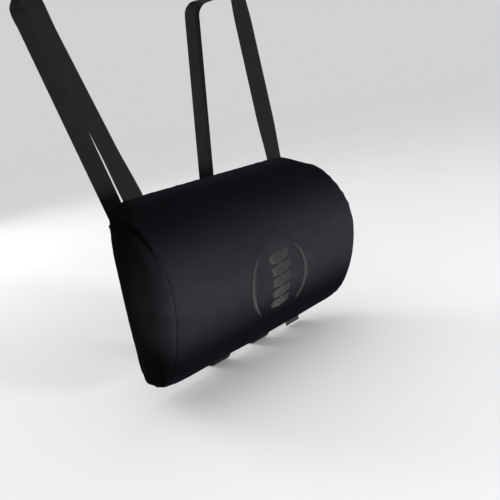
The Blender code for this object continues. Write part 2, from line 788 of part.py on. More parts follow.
def make_side(word, side):
    """One strap loop with its hardware."""
    frame = rear_frame(side)
    buckle = bpy.data.objects.new(f"{word}_buckle_place", None)
    glide = bpy.data.objects.new(f"{word}_glide_place", None)
    for empty, offset in ((buckle, (0, BUCKLE_PLANE, 0)), (glide, (0, 0, GLIDE_UP))):
        bpy.context.scene.collection.objects.link(empty)
        empty.matrix_world = frame @ Matrix.Translation(offset)
    make_upper_strap(word, side)
    make_strap_return(word, side)
    make_lower_strap(word, side)
    make_plug(word, buckle)
    make_socket(word, buckle)
    make_latch(f"{word}_latch_arm_a", buckle, -1)
    make_latch(f"{word}_latch_arm_b", buckle, 1)
    make_glide(word, glide)


def main():
    clear_scene()
    front = make_cover()
    liner, foam = make_filling()
    open_strap_slots(front, liner, foam)
    make_zip()
    make_emblem()
    make_label()
    make_side("left", -1)
    make_side("right", 1)


main()
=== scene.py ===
"""Lumbar support cushion: velour cover, foam, zip, emblem, strap loops and buckles.

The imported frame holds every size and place. The cushion's flat back is at y = 0, its front
looks along -Y, and its width lies along X.
"""

import json
import logging
import math
from collections.abc import Callable, Iterable
from dataclasses import dataclass, field
from enum import Enum, IntEnum

import bmesh
import bpy
import numpy as np
from mathutils import Matrix, Quaternion, Vector, noise
from mathutils.bvhtree import BVHTree
from mathutils.kdtree import KDTree


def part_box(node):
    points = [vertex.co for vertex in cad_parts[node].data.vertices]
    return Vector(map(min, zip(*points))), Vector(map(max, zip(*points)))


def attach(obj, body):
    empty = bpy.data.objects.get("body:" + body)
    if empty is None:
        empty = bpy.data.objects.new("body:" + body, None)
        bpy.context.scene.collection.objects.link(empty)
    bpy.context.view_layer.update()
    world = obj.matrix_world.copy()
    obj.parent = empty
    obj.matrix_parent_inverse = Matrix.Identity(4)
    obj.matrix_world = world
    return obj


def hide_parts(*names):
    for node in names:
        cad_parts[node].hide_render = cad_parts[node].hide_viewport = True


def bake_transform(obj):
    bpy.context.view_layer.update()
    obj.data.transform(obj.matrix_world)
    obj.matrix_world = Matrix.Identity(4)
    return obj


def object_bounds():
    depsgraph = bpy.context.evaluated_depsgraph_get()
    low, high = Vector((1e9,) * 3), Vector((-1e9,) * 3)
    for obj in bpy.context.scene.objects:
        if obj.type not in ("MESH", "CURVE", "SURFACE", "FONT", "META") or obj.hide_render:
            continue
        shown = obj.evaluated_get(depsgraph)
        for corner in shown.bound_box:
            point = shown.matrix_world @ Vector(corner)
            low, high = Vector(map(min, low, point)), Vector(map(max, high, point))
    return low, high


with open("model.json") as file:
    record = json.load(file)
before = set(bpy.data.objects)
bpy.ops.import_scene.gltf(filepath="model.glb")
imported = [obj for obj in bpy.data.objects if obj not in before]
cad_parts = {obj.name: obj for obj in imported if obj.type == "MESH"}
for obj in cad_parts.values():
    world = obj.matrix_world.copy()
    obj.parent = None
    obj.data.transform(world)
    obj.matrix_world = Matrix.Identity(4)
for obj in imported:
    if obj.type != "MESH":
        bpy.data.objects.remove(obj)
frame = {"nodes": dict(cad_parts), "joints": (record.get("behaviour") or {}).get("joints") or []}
CAD_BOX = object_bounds()
LOG = logging.getLogger("lumbar_cushion")

GAP = 0.0003  # kept between pieces that touch
COVER = 0.002  # thickness of the cover's end panels in the frame
FLOOR_GAP = 0.0005  # between the straps' lowest bend and the floor
WEBBING = 0.030
WEBBING_THICKNESS = 0.0016
WAYS = (-1, 1)
Colour = tuple[float, float, float]
Place = tuple[float, float, float]
Pair = tuple[float, float]


class Side(Enum):
    """The strap loop on the sitter's right, at -X, and the one on the left, at +X."""

    LEFT = -1
    RIGHT = 1

    @property
    def word(self) -> str:
        """The word that the frame's node names start with."""
        return self.name.lower()


class Panel(IntEnum):
    """The cloth panels of the cover, and the opening that the zip closes."""

    FRONT = 0
    LEFT_END = 1
    RIGHT_END = 2
    BACK_UPPER = 3
    BACK_LOWER = 4
    OPENING = 5


class Coordinates(Enum):
    """What a pattern follows."""

    OBJECT = "Object"
    CLOTH = "UV"


def smooth(share: float) -> float:
    """A share from 0 to 1, eased at both ends."""
    share = max(0.0, min(1.0, share))
    return share * share * (3 - 2 * share)


def ease(values: np.ndarray) -> np.ndarray:
    """Shares clipped to 0 to 1 and eased at both ends."""
    values = np.clip(values, 0.0, 1.0)
    return values * values * (3 - 2 * values)


# ---------------------------------------------------------------- shader tools


class Signal:
    """An output socket of a node tree, with the operators that the finishes use."""

    def __init__(self, tree: bpy.types.NodeTree, socket: bpy.types.NodeSocket) -> None:
        """Wraps one output socket."""
        self.tree = tree
        self.socket = socket

    def _math(self, operation: str, *values: "Signal | float", clamp: bool = False) -> "Signal":
        """Adds a Math node.

        Args:
            operation: The node's operation.
            values: Its inputs, in order.
            clamp: Whether the result is kept from 0 to 1.

        Returns:
            The node's output.
        """
        node = self.tree.nodes.new("ShaderNodeMath")
        node.operation = operation
        node.use_clamp = clamp
        for place, value in zip(node.inputs, values):
            if isinstance(value, Signal):
                self.tree.links.new(value.socket, place)
            else:
                place.default_value = value
        return Signal(self.tree, node.outputs[0])

    def __add__(self, other: "Signal | float") -> "Signal":
        """Sum."""
        return self._math("ADD", self, other)

    __radd__ = __add__

    def __sub__(self, other: "Signal | float") -> "Signal":
        """Difference."""
        return self._math("SUBTRACT", self, other)

    def __rsub__(self, other: "Signal | float") -> "Signal":
        """Difference from a number."""
        return self._math("SUBTRACT", other, self)

    def __mul__(self, other: "Signal | float") -> "Signal":
        """Product."""
        return self._math("MULTIPLY", self, other)

    __rmul__ = __mul__

    def __truediv__(self, other: "Signal | float") -> "Signal":
        """Quotient."""
        return self._math("DIVIDE", self, other)

    def sine(self) -> "Signal":
        """Sine."""
        return self._math("SINE", self)

    def wave(self) -> "Signal":
        """A sine moved into 0 to 1."""
        return self.sine() * 0.5 + 0.5

    def size(self) -> "Signal":
        """Absolute value."""
        return self._math("ABSOLUTE", self)

    def clip(self) -> "Signal":
        """The value kept from 0 to 1."""
        return self._math("ADD", self, 0.0, clamp=True)

    def eased(self) -> "Signal":
        """A share from 0 to 1, eased at both ends."""
        return self * self * (3 - 2 * self)


class Recipe:
    """The node tree of one material, around its Principled shader."""

    def __init__(self, name: str, roughness: float, metallic: float = 0.0, **fixed: float | Colour) -> None:
        """Starts a material.

        Args:
            name: Its name.
            roughness: The shader's roughness, unless a pattern feeds it.
            metallic: The shader's metallic value.
            fixed: Other values of the shader, with _ for each space in a name.
        """
        self.material = bpy.data.materials.new(name)
        self.material.use_nodes = True
        self.tree = self.material.node_tree
        self.shader = self.tree.nodes["Principled BSDF"]
        self.shader.inputs["Roughness"].default_value = roughness
        self.shader.inputs["Metallic"].default_value = metallic
        for word, value in fixed.items():
            place = self.shader.inputs[word.replace("_", " ")]
            place.default_value = (*value, 1.0) if isinstance(value, tuple) else value

    def node(
        self,
        kind: str,
        settings: dict[str, object] | None = None,
        output: int | str = 0,
        **sockets: object,
    ) -> Signal:
        """Adds a node of any type.

        Args:
            kind: Its type, without the word ShaderNode.
            settings: Its properties, which are set first.
            output: Which output to return.
            sockets: Values or links of its inputs, with _ for each space in a name.

        Returns:
            The chosen output.
        """
        made = self.tree.nodes.new(f"ShaderNode{kind}")
        for word, value in (settings or {}).items():
            setattr(made, word, value)
        for word, value in sockets.items():
            name = word.replace("_", " ")
            place = next(s for s in made.inputs if s.name == name and s.enabled)
            if isinstance(value, Signal):
                self.tree.links.new(value.socket, place)
            else:
                place.default_value = value
        return Signal(self.tree, made.outputs[output])

    def coordinates(self, kind: Coordinates, scale: Place = (1, 1, 1)) -> Signal:
        """Coordinates for a pattern.

        Args:
            kind: What they follow.
            scale: Stretch along each axis.

        Returns:
            The vector.
        """
        start = self.node("TexCoord", output=kind.value)
        return self.node("Mapping", Vector=start, Scale=scale)

    def noise(self, vector: Signal, scale: float, detail: float = 2.0, roughness: float = 0.5) -> Signal:
        """A noise from 0 to 1 at a scale in cells per metre."""
        return self.node("TexNoise", Vector=vector, Scale=scale, Detail=detail, Roughness=roughness)

    def parts(self, vector: Signal) -> tuple[Signal, Signal, Signal]:
        """The three numbers of a vector."""
        x = self.node("SeparateXYZ", Vector=vector)
        outputs = x.socket.node.outputs
        return x, Signal(self.tree, outputs[1]), Signal(self.tree, outputs[2])

    def colour(self, share: Signal, low: Colour, high: Colour) -> Signal:
        """A mix of two colours.

        Args:
            share: From 0, the low colour, to 1, the high one.
            low: The first colour.
            high: The second colour.

        Returns:
            The mixed colour.
        """
        result = 2  # the colour output, after the number's and the vector's
        return self.node("Mix", {"data_type": "RGBA"}, result, Factor=share, A=(*low, 1.0), B=(*high, 1.0))

    def feed(self, name: str, value: Signal) -> None:
        """Links a pattern to one of the shader's inputs."""
        self.tree.links.new(value.socket, self.shader.inputs[name])

    def relief(self, height: Signal, distance: float, strength: float = 1.0) -> None:
        """Feeds a height of 0 to 1, worth a distance in metres, to the shader's normal."""
        self.feed("Normal", self.node("Bump", Height=height, Distance=distance, Strength=strength))


# -------------------------------------------------------------------- finishes


@dataclass(frozen=True)
class Velour:
    """Short dense pile, blue-black, with painted light: a paler lit band across the front, and painted shade
    on the top, the underside and the ends' rear.
    """

    name: str = "velour"
    deep: Colour = (0.0013, 0.0013, 0.0018)
    # the tone of the painted lit band
    painted_lit_tone: Colour = (0.0140, 0.0144, 0.0165)
    sheen: float = 0.010
    top: Pair = (0.090, 0.110)  # where the painted lit band ends above, and over what height it fades into painted shade
    bottom: Pair = (-0.088, 0.060)
    rear: Pair = (-0.014, 0.066)
    painted_shade_share: float = 0.08  # the share of the band's tone left in the painted shade elsewhere
    grain: tuple[float, ...] = (17.0, 70.0, 900.0, 2600.0)  # patches, strokes, tufts and pile, per metre

    def material(self) -> bpy.types.Material:
        """Builds the material."""
        look = Recipe(
            self.name,
            0.6,
            Specular_IOR_Level=0.0,
            Sheen_Weight=self.sheen,
            Sheen_Roughness=0.38,
            Sheen_Tint=(0.80, 0.84, 1.0),
        )
        place = look.coordinates(Coordinates.OBJECT)
        swept = look.coordinates(Coordinates.OBJECT, (0.55, 1.0, 1.6))
        patches = look.noise(swept, self.grain[0], 3.0, 0.55)
        strokes = look.noise(swept, self.grain[1], 3.0, 0.6)
        tufts = look.noise(place, self.grain[2], 2.0, 0.6)
        pile = look.noise(place, self.grain[3], 1.0)
        lie = (patches * 1.5 + strokes * 0.55 - 0.52).clip()
        _, depth, height = look.parts(place)
        above = ((self.top[0] - height) / self.top[1]).clip().eased()
        below = ((height - self.bottom[0]) / self.bottom[1]).clip().eased()
        ahead = ((self.rear[0] - depth) / self.rear[1]).clip().eased()
        # Painted light and shade: the front's middle band is lit, and the top, the underside and the ends'
        # rear are darkened as painted shade.
        wear_and_painted_light = above * below * ahead * (1.0 - self.painted_shade_share) + self.painted_shade_share
        shade = (wear_and_painted_light * (0.30 + lie * 0.34 + tufts * 0.40 + pile * 0.22)).clip()
        look.feed("Base Color", look.colour(shade, self.deep, self.painted_lit_tone))
        look.feed("Roughness", 0.50 + lie * 0.13 + tufts * 0.10)
        look.relief(tufts * 0.45 + pile * 0.35 + strokes * 0.20, 0.00035, 0.55)
        return look.material


@dataclass(frozen=True)
class Webbing:
    """Woven polyester strap: ribs across, with a finer lengthwise herringbone."""

    name: str = "webbing"
    low: Colour = (0.0020, 0.0018, 0.0018)
    high: Colour = (0.0102, 0.0096, 0.0095)
    rib: float = 0.0011
    cord: float = 0.0019
    selvedge: float = 0.0022
    selvedge_fade: float = 900.0  # tone gained for each metre into the selvedge

    def material(self) -> bpy.types.Material:
        """Builds the material, on UV coordinates in metres."""
        look = Recipe(self.name, 0.6, Specular_IOR_Level=0.04, Sheen_Weight=0.01, Sheen_Roughness=0.45)
        place = look.coordinates(Coordinates.CLOTH)
        across, along, _ = look.parts(place)
        turn = 2 * math.pi
        zigzag = (across * (1 / self.cord) * math.pi).sine().size() * self.cord * 0.5
        ribs = ((along + zigzag) * (turn / self.rib)).wave()
        cords = (across * (turn / self.cord)).wave()
        weave = ribs * 0.6 + cords * 0.4
        fuzz = look.noise(place, 2400.0, 2.0)
        worn = look.noise(place, 45.0, 3.0)
        edge = ((across.size() - (WEBBING / 2 - self.selvedge)) * self.selvedge_fade).clip()
        shade = (weave * 0.55 + fuzz * 0.35 + worn * 0.35 - 0.28 + edge * 0.12).clip()
        look.feed("Base Color", look.colour(shade, self.low, self.high))
        look.feed("Roughness", 0.48 + fuzz * 0.16 + worn * 0.12)
        look.relief(weave * 0.8 + fuzz * 0.2, 0.00032, 0.8)
        return look.material


@dataclass(frozen=True)
class Yarn:
    """Twisted or glossy sewing yarn, streaked along its fibres."""

    name: str
    low: Colour
    high: Colour
    roughness: float = 0.42

    def material(self) -> bpy.types.Material:
        """Builds the material."""
        look = Recipe(
            self.name, self.roughness, Specular_IOR_Level=0.2, Sheen_Weight=0.04, Sheen_Roughness=0.4
        )
        place = look.coordinates(Coordinates.OBJECT)
        fibres = look.noise(place, 3200.0, 2.0)
        strands = look.noise(place, 420.0, 2.0)
        shade = (fibres * 0.8 + strands * 0.8 - 0.3).clip()
        look.feed("Base Color", look.colour(shade, self.low, self.high))
        look.feed("Roughness", self.roughness - 0.08 + fibres * 0.2)
        look.relief(fibres, 0.00012, 0.6)
        return look.material


@dataclass(frozen=True)
class Moulded:
    """Injection-moulded plastic with a fine spark texture and rubbed high spots."""

    name: str = "buckle_plastic"
    low: Colour = (0.0055, 0.0055, 0.0060)
    high: Colour = (0.0130, 0.0130, 0.0138)
    roughness: float = 0.42

    def material(self) -> bpy.types.Material:
        """Builds the material."""
        look = Recipe(self.name, self.roughness, Specular_IOR_Level=0.5)
        place = look.coordinates(Coordinates.OBJECT)
        spark = look.noise(place, 2800.0, 2.0, 0.6)
        cloud = look.noise(place, 120.0, 3.0)
        scuffs = look.noise(look.coordinates(Coordinates.OBJECT, (0.3, 1.0, 1.0)), 800.0, 2.0)
        wear_and_painted_light = ((scuffs - 0.60) * 6.0).clip()
        look.feed("Base Color", look.colour((cloud * 0.7 + wear_and_painted_light * 0.3).clip(), self.low, self.high))
        look.feed("Roughness", self.roughness - 0.07 + cloud * 0.12 + spark * 0.10 - wear_and_painted_light * 0.06)
        look.relief(spark, 0.00008, 0.6)
        return look.material


@dataclass(frozen=True)
class Nickel:
    """Black-nickel plating with hairline scratches."""

    name: str = "zip_metal"
    low: Colour = (0.10, 0.10, 0.105)
    high: Colour = (0.19, 0.19, 0.20)

    def material(self) -> bpy.types.Material:
        """Builds the material."""
        look = Recipe(self.name, 0.3, 1.0)
        place = look.coordinates(Coordinates.OBJECT, (1.0, 1.0, 9.0))
        lines = look.noise(place, 700.0, 3.0, 0.65)
        cloud = look.noise(look.coordinates(Coordinates.OBJECT), 260.0, 2.0)
        look.feed("Base Color", look.colour(cloud, self.low, self.high))
        look.feed("Roughness", 0.22 + lines * 0.16 + cloud * 0.08)
        look.relief(lines, 0.00004, 0.4)
        return look.material


@dataclass(frozen=True)
class PlainWeave:
    """Plain woven cloth, on Object coordinates, for tapes, lining and labels."""

    name: str
    low: Colour
    high: Colour
    pitch: float
    roughness: float = 0.75

    def material(self) -> bpy.types.Material:
        """Builds the material."""
        look = Recipe(self.name, self.roughness, Specular_IOR_Level=0.15)
        place = look.coordinates(Coordinates.OBJECT)
        x, _, z = look.parts(place)
        turn = 2 * math.pi / self.pitch
        weave = (x * turn).wave() * 0.5 + (z * turn).wave() * 0.5
        slub = look.noise(place, 0.35 / self.pitch, 3.0)
        look.feed("Base Color", look.colour((weave * 0.5 + slub * 0.7 - 0.1).clip(), self.low, self.high))
        look.feed("Roughness", self.roughness - 0.06 + slub * 0.12)
        look.relief(weave * 0.7 + slub * 0.3, self.pitch * 0.25, 0.7)
        return look.material


@dataclass(frozen=True)
class OpenFoam:
    """Cut polyurethane foam with open cells."""

    name: str = "foam"
    low: Colour = (0.42, 0.38, 0.27)
    high: Colour = (0.76, 0.73, 0.62)

    def material(self) -> bpy.types.Material:
        """Builds the material."""
        look = Recipe(self.name, 0.92)
        place = look.coordinates(Coordinates.OBJECT)
        cells = look.node("TexVoronoi", Vector=place, Scale=900.0)
        cloud = look.noise(place, 60.0, 3.0)
        look.feed("Base Color", look.colour((cells * 0.9 + cloud * 0.3).clip(), self.low, self.high))
        look.feed("Roughness", 0.86 + cloud * 0.1)
        look.relief(cells, 0.0006, 0.8)
        return look.material


@dataclass(frozen=True)
class PaintedFloor:
    """Matt pale floor."""

    name: str = "studio_floor"
    low: Colour = (0.78, 0.78, 0.78)
    high: Colour = (0.82, 0.82, 0.82)

    def material(self) -> bpy.types.Material:
        """Builds the material."""
        look = Recipe(self.name, 0.9)
        cloud = look.noise(look.coordinates(Coordinates.OBJECT), 3.0, 2.0)
        look.feed("Base Color", look.colour(cloud, self.low, self.high))
        return look.material


def dyed(maker: type, *values: object) -> bpy.types.Material:
    """A Wardrobe field, whose material is made together with the wardrobe.

    Args:
        maker: The finish's class.
        values: Its values, in order.

    Returns:
        The field.
    """
    return field(default_factory=lambda: maker(*values).material())


@dataclass
class Wardrobe:
    """Every finish of the object, made once."""

    velour: bpy.types.Material = dyed(Velour)
    webbing: bpy.types.Material = dyed(Webbing)
    elastic: bpy.types.Material = dyed(
        Webbing, "elastic", (0.0024, 0.0023, 0.0023), (0.0118, 0.0113, 0.0113), 0.0016, 0.0009
    )
    satin: bpy.types.Material = dyed(
        Yarn, "emblem_thread", (0.0030, 0.0026, 0.0026), (0.0125, 0.0106, 0.0106), 0.45
    )
    thread: bpy.types.Material = dyed(
        Yarn, "sewing_thread", (0.008, 0.008, 0.009), (0.034, 0.033, 0.035), 0.5
    )
    plastic: bpy.types.Material = dyed(Moulded)
    coil: bpy.types.Material = dyed(
        Moulded, "zip_coil", (0.011, 0.011, 0.012), (0.024, 0.024, 0.026), 0.34
    )
    metal: bpy.types.Material = dyed(Nickel)
    tape: bpy.types.Material = dyed(
        PlainWeave, "zip_tape", (0.008, 0.008, 0.009), (0.026, 0.026, 0.028), 0.0007
    )
    lining: bpy.types.Material = dyed(
        PlainWeave, "liner_cloth", (0.50, 0.50, 0.48), (0.72, 0.72, 0.70), 0.0009, 0.85
    )
    label: bpy.types.Material = dyed(
        PlainWeave, "label_satin", (0.006, 0.006, 0.006), (0.018, 0.018, 0.019), 0.0005, 0.45
    )
    foam: bpy.types.Material = dyed(OpenFoam)


# ---------------------------------------------------------------- mesh tools


def to_object(
    name: str, bm: bmesh.types.BMesh, look: bpy.types.Material, smooth_faces: bool = True
) -> bpy.types.Object:
    """Makes a piece of a bmesh, at the origin, with its place in its mesh.

    Args:
        name: The piece's name.
        bm: Its bmesh, which is freed.
        look: Its material.
        smooth_faces: Whether its faces are shaded smooth.

    Returns:
        The linked object.
    """
    mesh = bpy.data.meshes.new(name)
    bm.to_mesh(mesh)
    bm.free()
    mesh.materials.clear()
    mesh.materials.append(look)
    if smooth_faces:
        mesh.shade_smooth()
    made = bpy.data.objects.new(name, mesh)
    bpy.context.scene.collection.objects.link(made)
    return made


def seat(piece: bpy.types.Object, body: str, slot: str, *nodes: str) -> None:
    """Puts a piece on its body and hides the nodes that it stands for.

    Args:
        piece: The piece.
        body: The body that it rides on.
        slot: Not used.
        nodes: The frame's nodes that it replaces.
    """
    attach(piece, body)
    if nodes:
        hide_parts(*nodes)
    LOG.info("%s: %d faces on %s", piece.name, len(piece.data.polygons), body)


def subdivide(piece: bpy.types.Object, levels: int = 1) -> None:
    """Adds a live Subdivision Surface."""
    change = piece.modifiers.new("fine", "SUBSURF")
    change.levels = levels
    change.render_levels = levels


def thicken(piece: bpy.types.Object, thickness: float, offset: float) -> None:
    """Adds a live Solidify."""
    change = piece.modifiers.new("thickness", "SOLIDIFY")
    change.thickness = thickness
    change.offset = offset


def bake_modifiers(piece: bpy.types.Object) -> None:
    """Applies a piece's modifiers to its mesh."""
    evaluated = piece.evaluated_get(bpy.context.evaluated_depsgraph_get())
    mesh = bpy.data.meshes.new_from_object(evaluated)
    piece.modifiers.clear()
    piece.data = mesh


def positions(mesh: bpy.types.Mesh) -> np.ndarray:
    """The places of a mesh's vertices, one row each."""
    flat = np.zeros(len(mesh.vertices) * 3)
    mesh.vertices.foreach_get("co", flat)
    return flat.reshape(-1, 3)


def set_positions(mesh: bpy.types.Mesh, places: np.ndarray) -> None:
    """Moves a mesh's vertices."""
    mesh.vertices.foreach_set("co", places.astype(np.float32).ravel())
    mesh.update()


def normals(mesh: bpy.types.Mesh) -> np.ndarray:
    """The normals of a mesh's vertices, one row each."""
    flat = np.zeros(len(mesh.vertices) * 3)
    mesh.vertex_normals.foreach_get("vector", flat)
    return flat.reshape(-1, 3)


def cloth_noise(places: Iterable[Iterable[float]], scale: float, shift: Place = (0, 0, 0)) -> np.ndarray:
    """A smooth random number for each place.

    Args:
        places: The places.
        scale: How fine the noise is, in cells per metre.
        shift: A move of the noise, so that two of one scale differ.

    Returns:
        The numbers, from -1 to 1.
    """
    return np.array([noise.noise(Vector(p) * scale + Vector(shift)) for p in places])


def relax(bm: bmesh.types.BMesh, verts: Iterable[bmesh.types.BMVert], rounds: int) -> None:
    """Moves vertices halfway towards their neighbours' middle, round after round."""
    for _ in range(rounds):
        bmesh.ops.smooth_vert(
            bm, verts=verts, factor=0.5, use_axis_x=True, use_axis_y=True, use_axis_z=True
        )


def add_box(
    bm: bmesh.types.BMesh, low: Vector | Place, high: Vector | Place, edge: float, segments: int = 2
) -> None:
    """Adds a box with rounded edges.

    Args:
        bm: The bmesh.
        low: The lowest corner.
        high: The highest corner.
        edge: Rounding of the edges.
        segments: Segments of the rounding.
    """
    low, high = Vector(low), Vector(high)
    size = Matrix.Diagonal((*(high - low), 1.0))
    made = bmesh.ops.create_cube(bm, size=1.0, matrix=Matrix.Translation((low + high) / 2) @ size)
    edges = list({e for v in made["verts"] for e in v.link_edges})
    bmesh.ops.bevel(
        bm,
        geom=edges,
        offset=edge,
        segments=segments,
        profile=0.5,
        affect="EDGES",
        clamp_overlap=True,
        material=-1,
    )


def bead(segments: int, rings: int) -> bpy.types.Mesh:
    """A unit sphere that add_copy stretches into stitches and teeth."""
    bm = bmesh.new()
    bmesh.ops.create_uvsphere(bm, u_segments=segments, v_segments=rings, radius=1.0)
    mesh = bpy.data.meshes.new("bead")
    bm.to_mesh(mesh)
    bm.free()
    return mesh


def add_copy(bm: bmesh.types.BMesh, shape: bpy.types.Mesh, matrix: Matrix) -> None:
    """Adds a copy of a small mesh, moved and stretched by a matrix."""
    shape.transform(matrix)
    bm.from_mesh(shape)
    shape.transform(matrix.inverted())


def add_stitch(
    bm: bmesh.types.BMesh, shape: bpy.types.Mesh, start: Vector, end: Vector, radius: float
) -> None:
    """Adds one visible length of thread that dips at both ends.

    Args:
        bm: The bmesh.
        shape: A bead.
        start: Where the thread comes up.
        end: Where it goes down.
        radius: Its radius.
    """
    along = end - start
    turn = along.to_track_quat("X", "Z").to_matrix().to_4x4()
    size = Matrix.Diagonal((along.length / 2, radius, radius, 1.0))
    add_copy(bm, shape, Matrix.Translation((start + end) / 2) @ turn @ size)


def rounded_path(corners: list[Vector], radii: list[float], spacing: float = 0.004) -> list[Vector]:
    """Points along straight runs whose corners are arcs.

    Args:
        corners: The corners of the path.
        radii: The radius at each corner between the two ends.
        spacing: The longest step along the straight runs.

    Returns:
        The path's points.
    """
    points = [corners[0]]
    for i, radius in enumerate(radii, start=1):
        corner = corners[i]
        back = (corners[i - 1] - corner).normalized()
        on = (corners[i + 1] - corner).normalized()
        turn = math.pi - back.angle(on)
        if turn < 1e-4 or radius == 0:
            points.append(corner)
            continue
        reach = radius * math.tan(turn / 2)
        centre = corner + (back + on).normalized() * (radius / math.cos(turn / 2))
        start = corner + back * reach - centre
        axis = back.cross(on).normalized()
        steps = max(2, math.ceil(turn / math.radians(12)))
        points += [centre + Matrix.Rotation(-turn * k / steps, 3, axis) @ start for k in range(steps + 1)]
    points.append(corners[-1])
    even = points[:1]
    for point in points[1:]:
        step = point - even[-1]
        if step.length < 1e-5:
            continue
        count = max(1, round(step.length / spacing))
        start = even[-1]
        even += [start + step * (k / count) for k in range(1, count + 1)]
    return even


# --------------------------------------------------------------- the cushion


@dataclass
class Outline:
    """The cushion's cross-section: round and crowned in front, flat behind."""

    depth: float
    up: float
    down: float
    upper: Pair = (2.25, 1.37)
    lower: Pair = (1.51, 2.62)
    steps: int = 240

    def __post_init__(self) -> None:
        """Measures the curve once, from the top rear edge round to the bottom rear edge."""
        self.points: list[Vector] = []
        for height, powers, shares in (
            (self.up, self.upper, [1 - i / self.steps for i in range(self.steps)]),
            (-self.down, self.lower, [i / self.steps for i in range(self.steps + 1)]),
        ):
            for share in shares:
                angle = share * math.pi / 2
                y = -self.depth * max(0.0, math.cos(angle)) ** (2 / powers[1])
                self.points.append(Vector((y, height * math.sin(angle) ** (2 / powers[0]))))
        self.points[0].x = self.points[-1].x = 0.0
        steps = [(b - a).length for a, b in zip(self.points, self.points[1:])]
        self.arcs = np.concatenate(([0.0], np.cumsum(steps)))
        self.length = float(self.arcs[-1])

    def at(self, arc: float) -> tuple[Vector, Vector]:
        """The curve at a distance along it.

        Args:
            arc: Distance from the top rear edge.

        Returns:
            The point and the outward normal, each in Y and Z.
        """
        last = len(self.points) - 2
        i = min(last, max(0, int(np.searchsorted(self.arcs, arc)) - 1))
        a, b = self.points[i], self.points[i + 1]
        share = (arc - self.arcs[i]) / (self.arcs[i + 1] - self.arcs[i])
        along = (b - a).normalized()
        return a.lerp(b, share), Vector((along.y, -along.x))


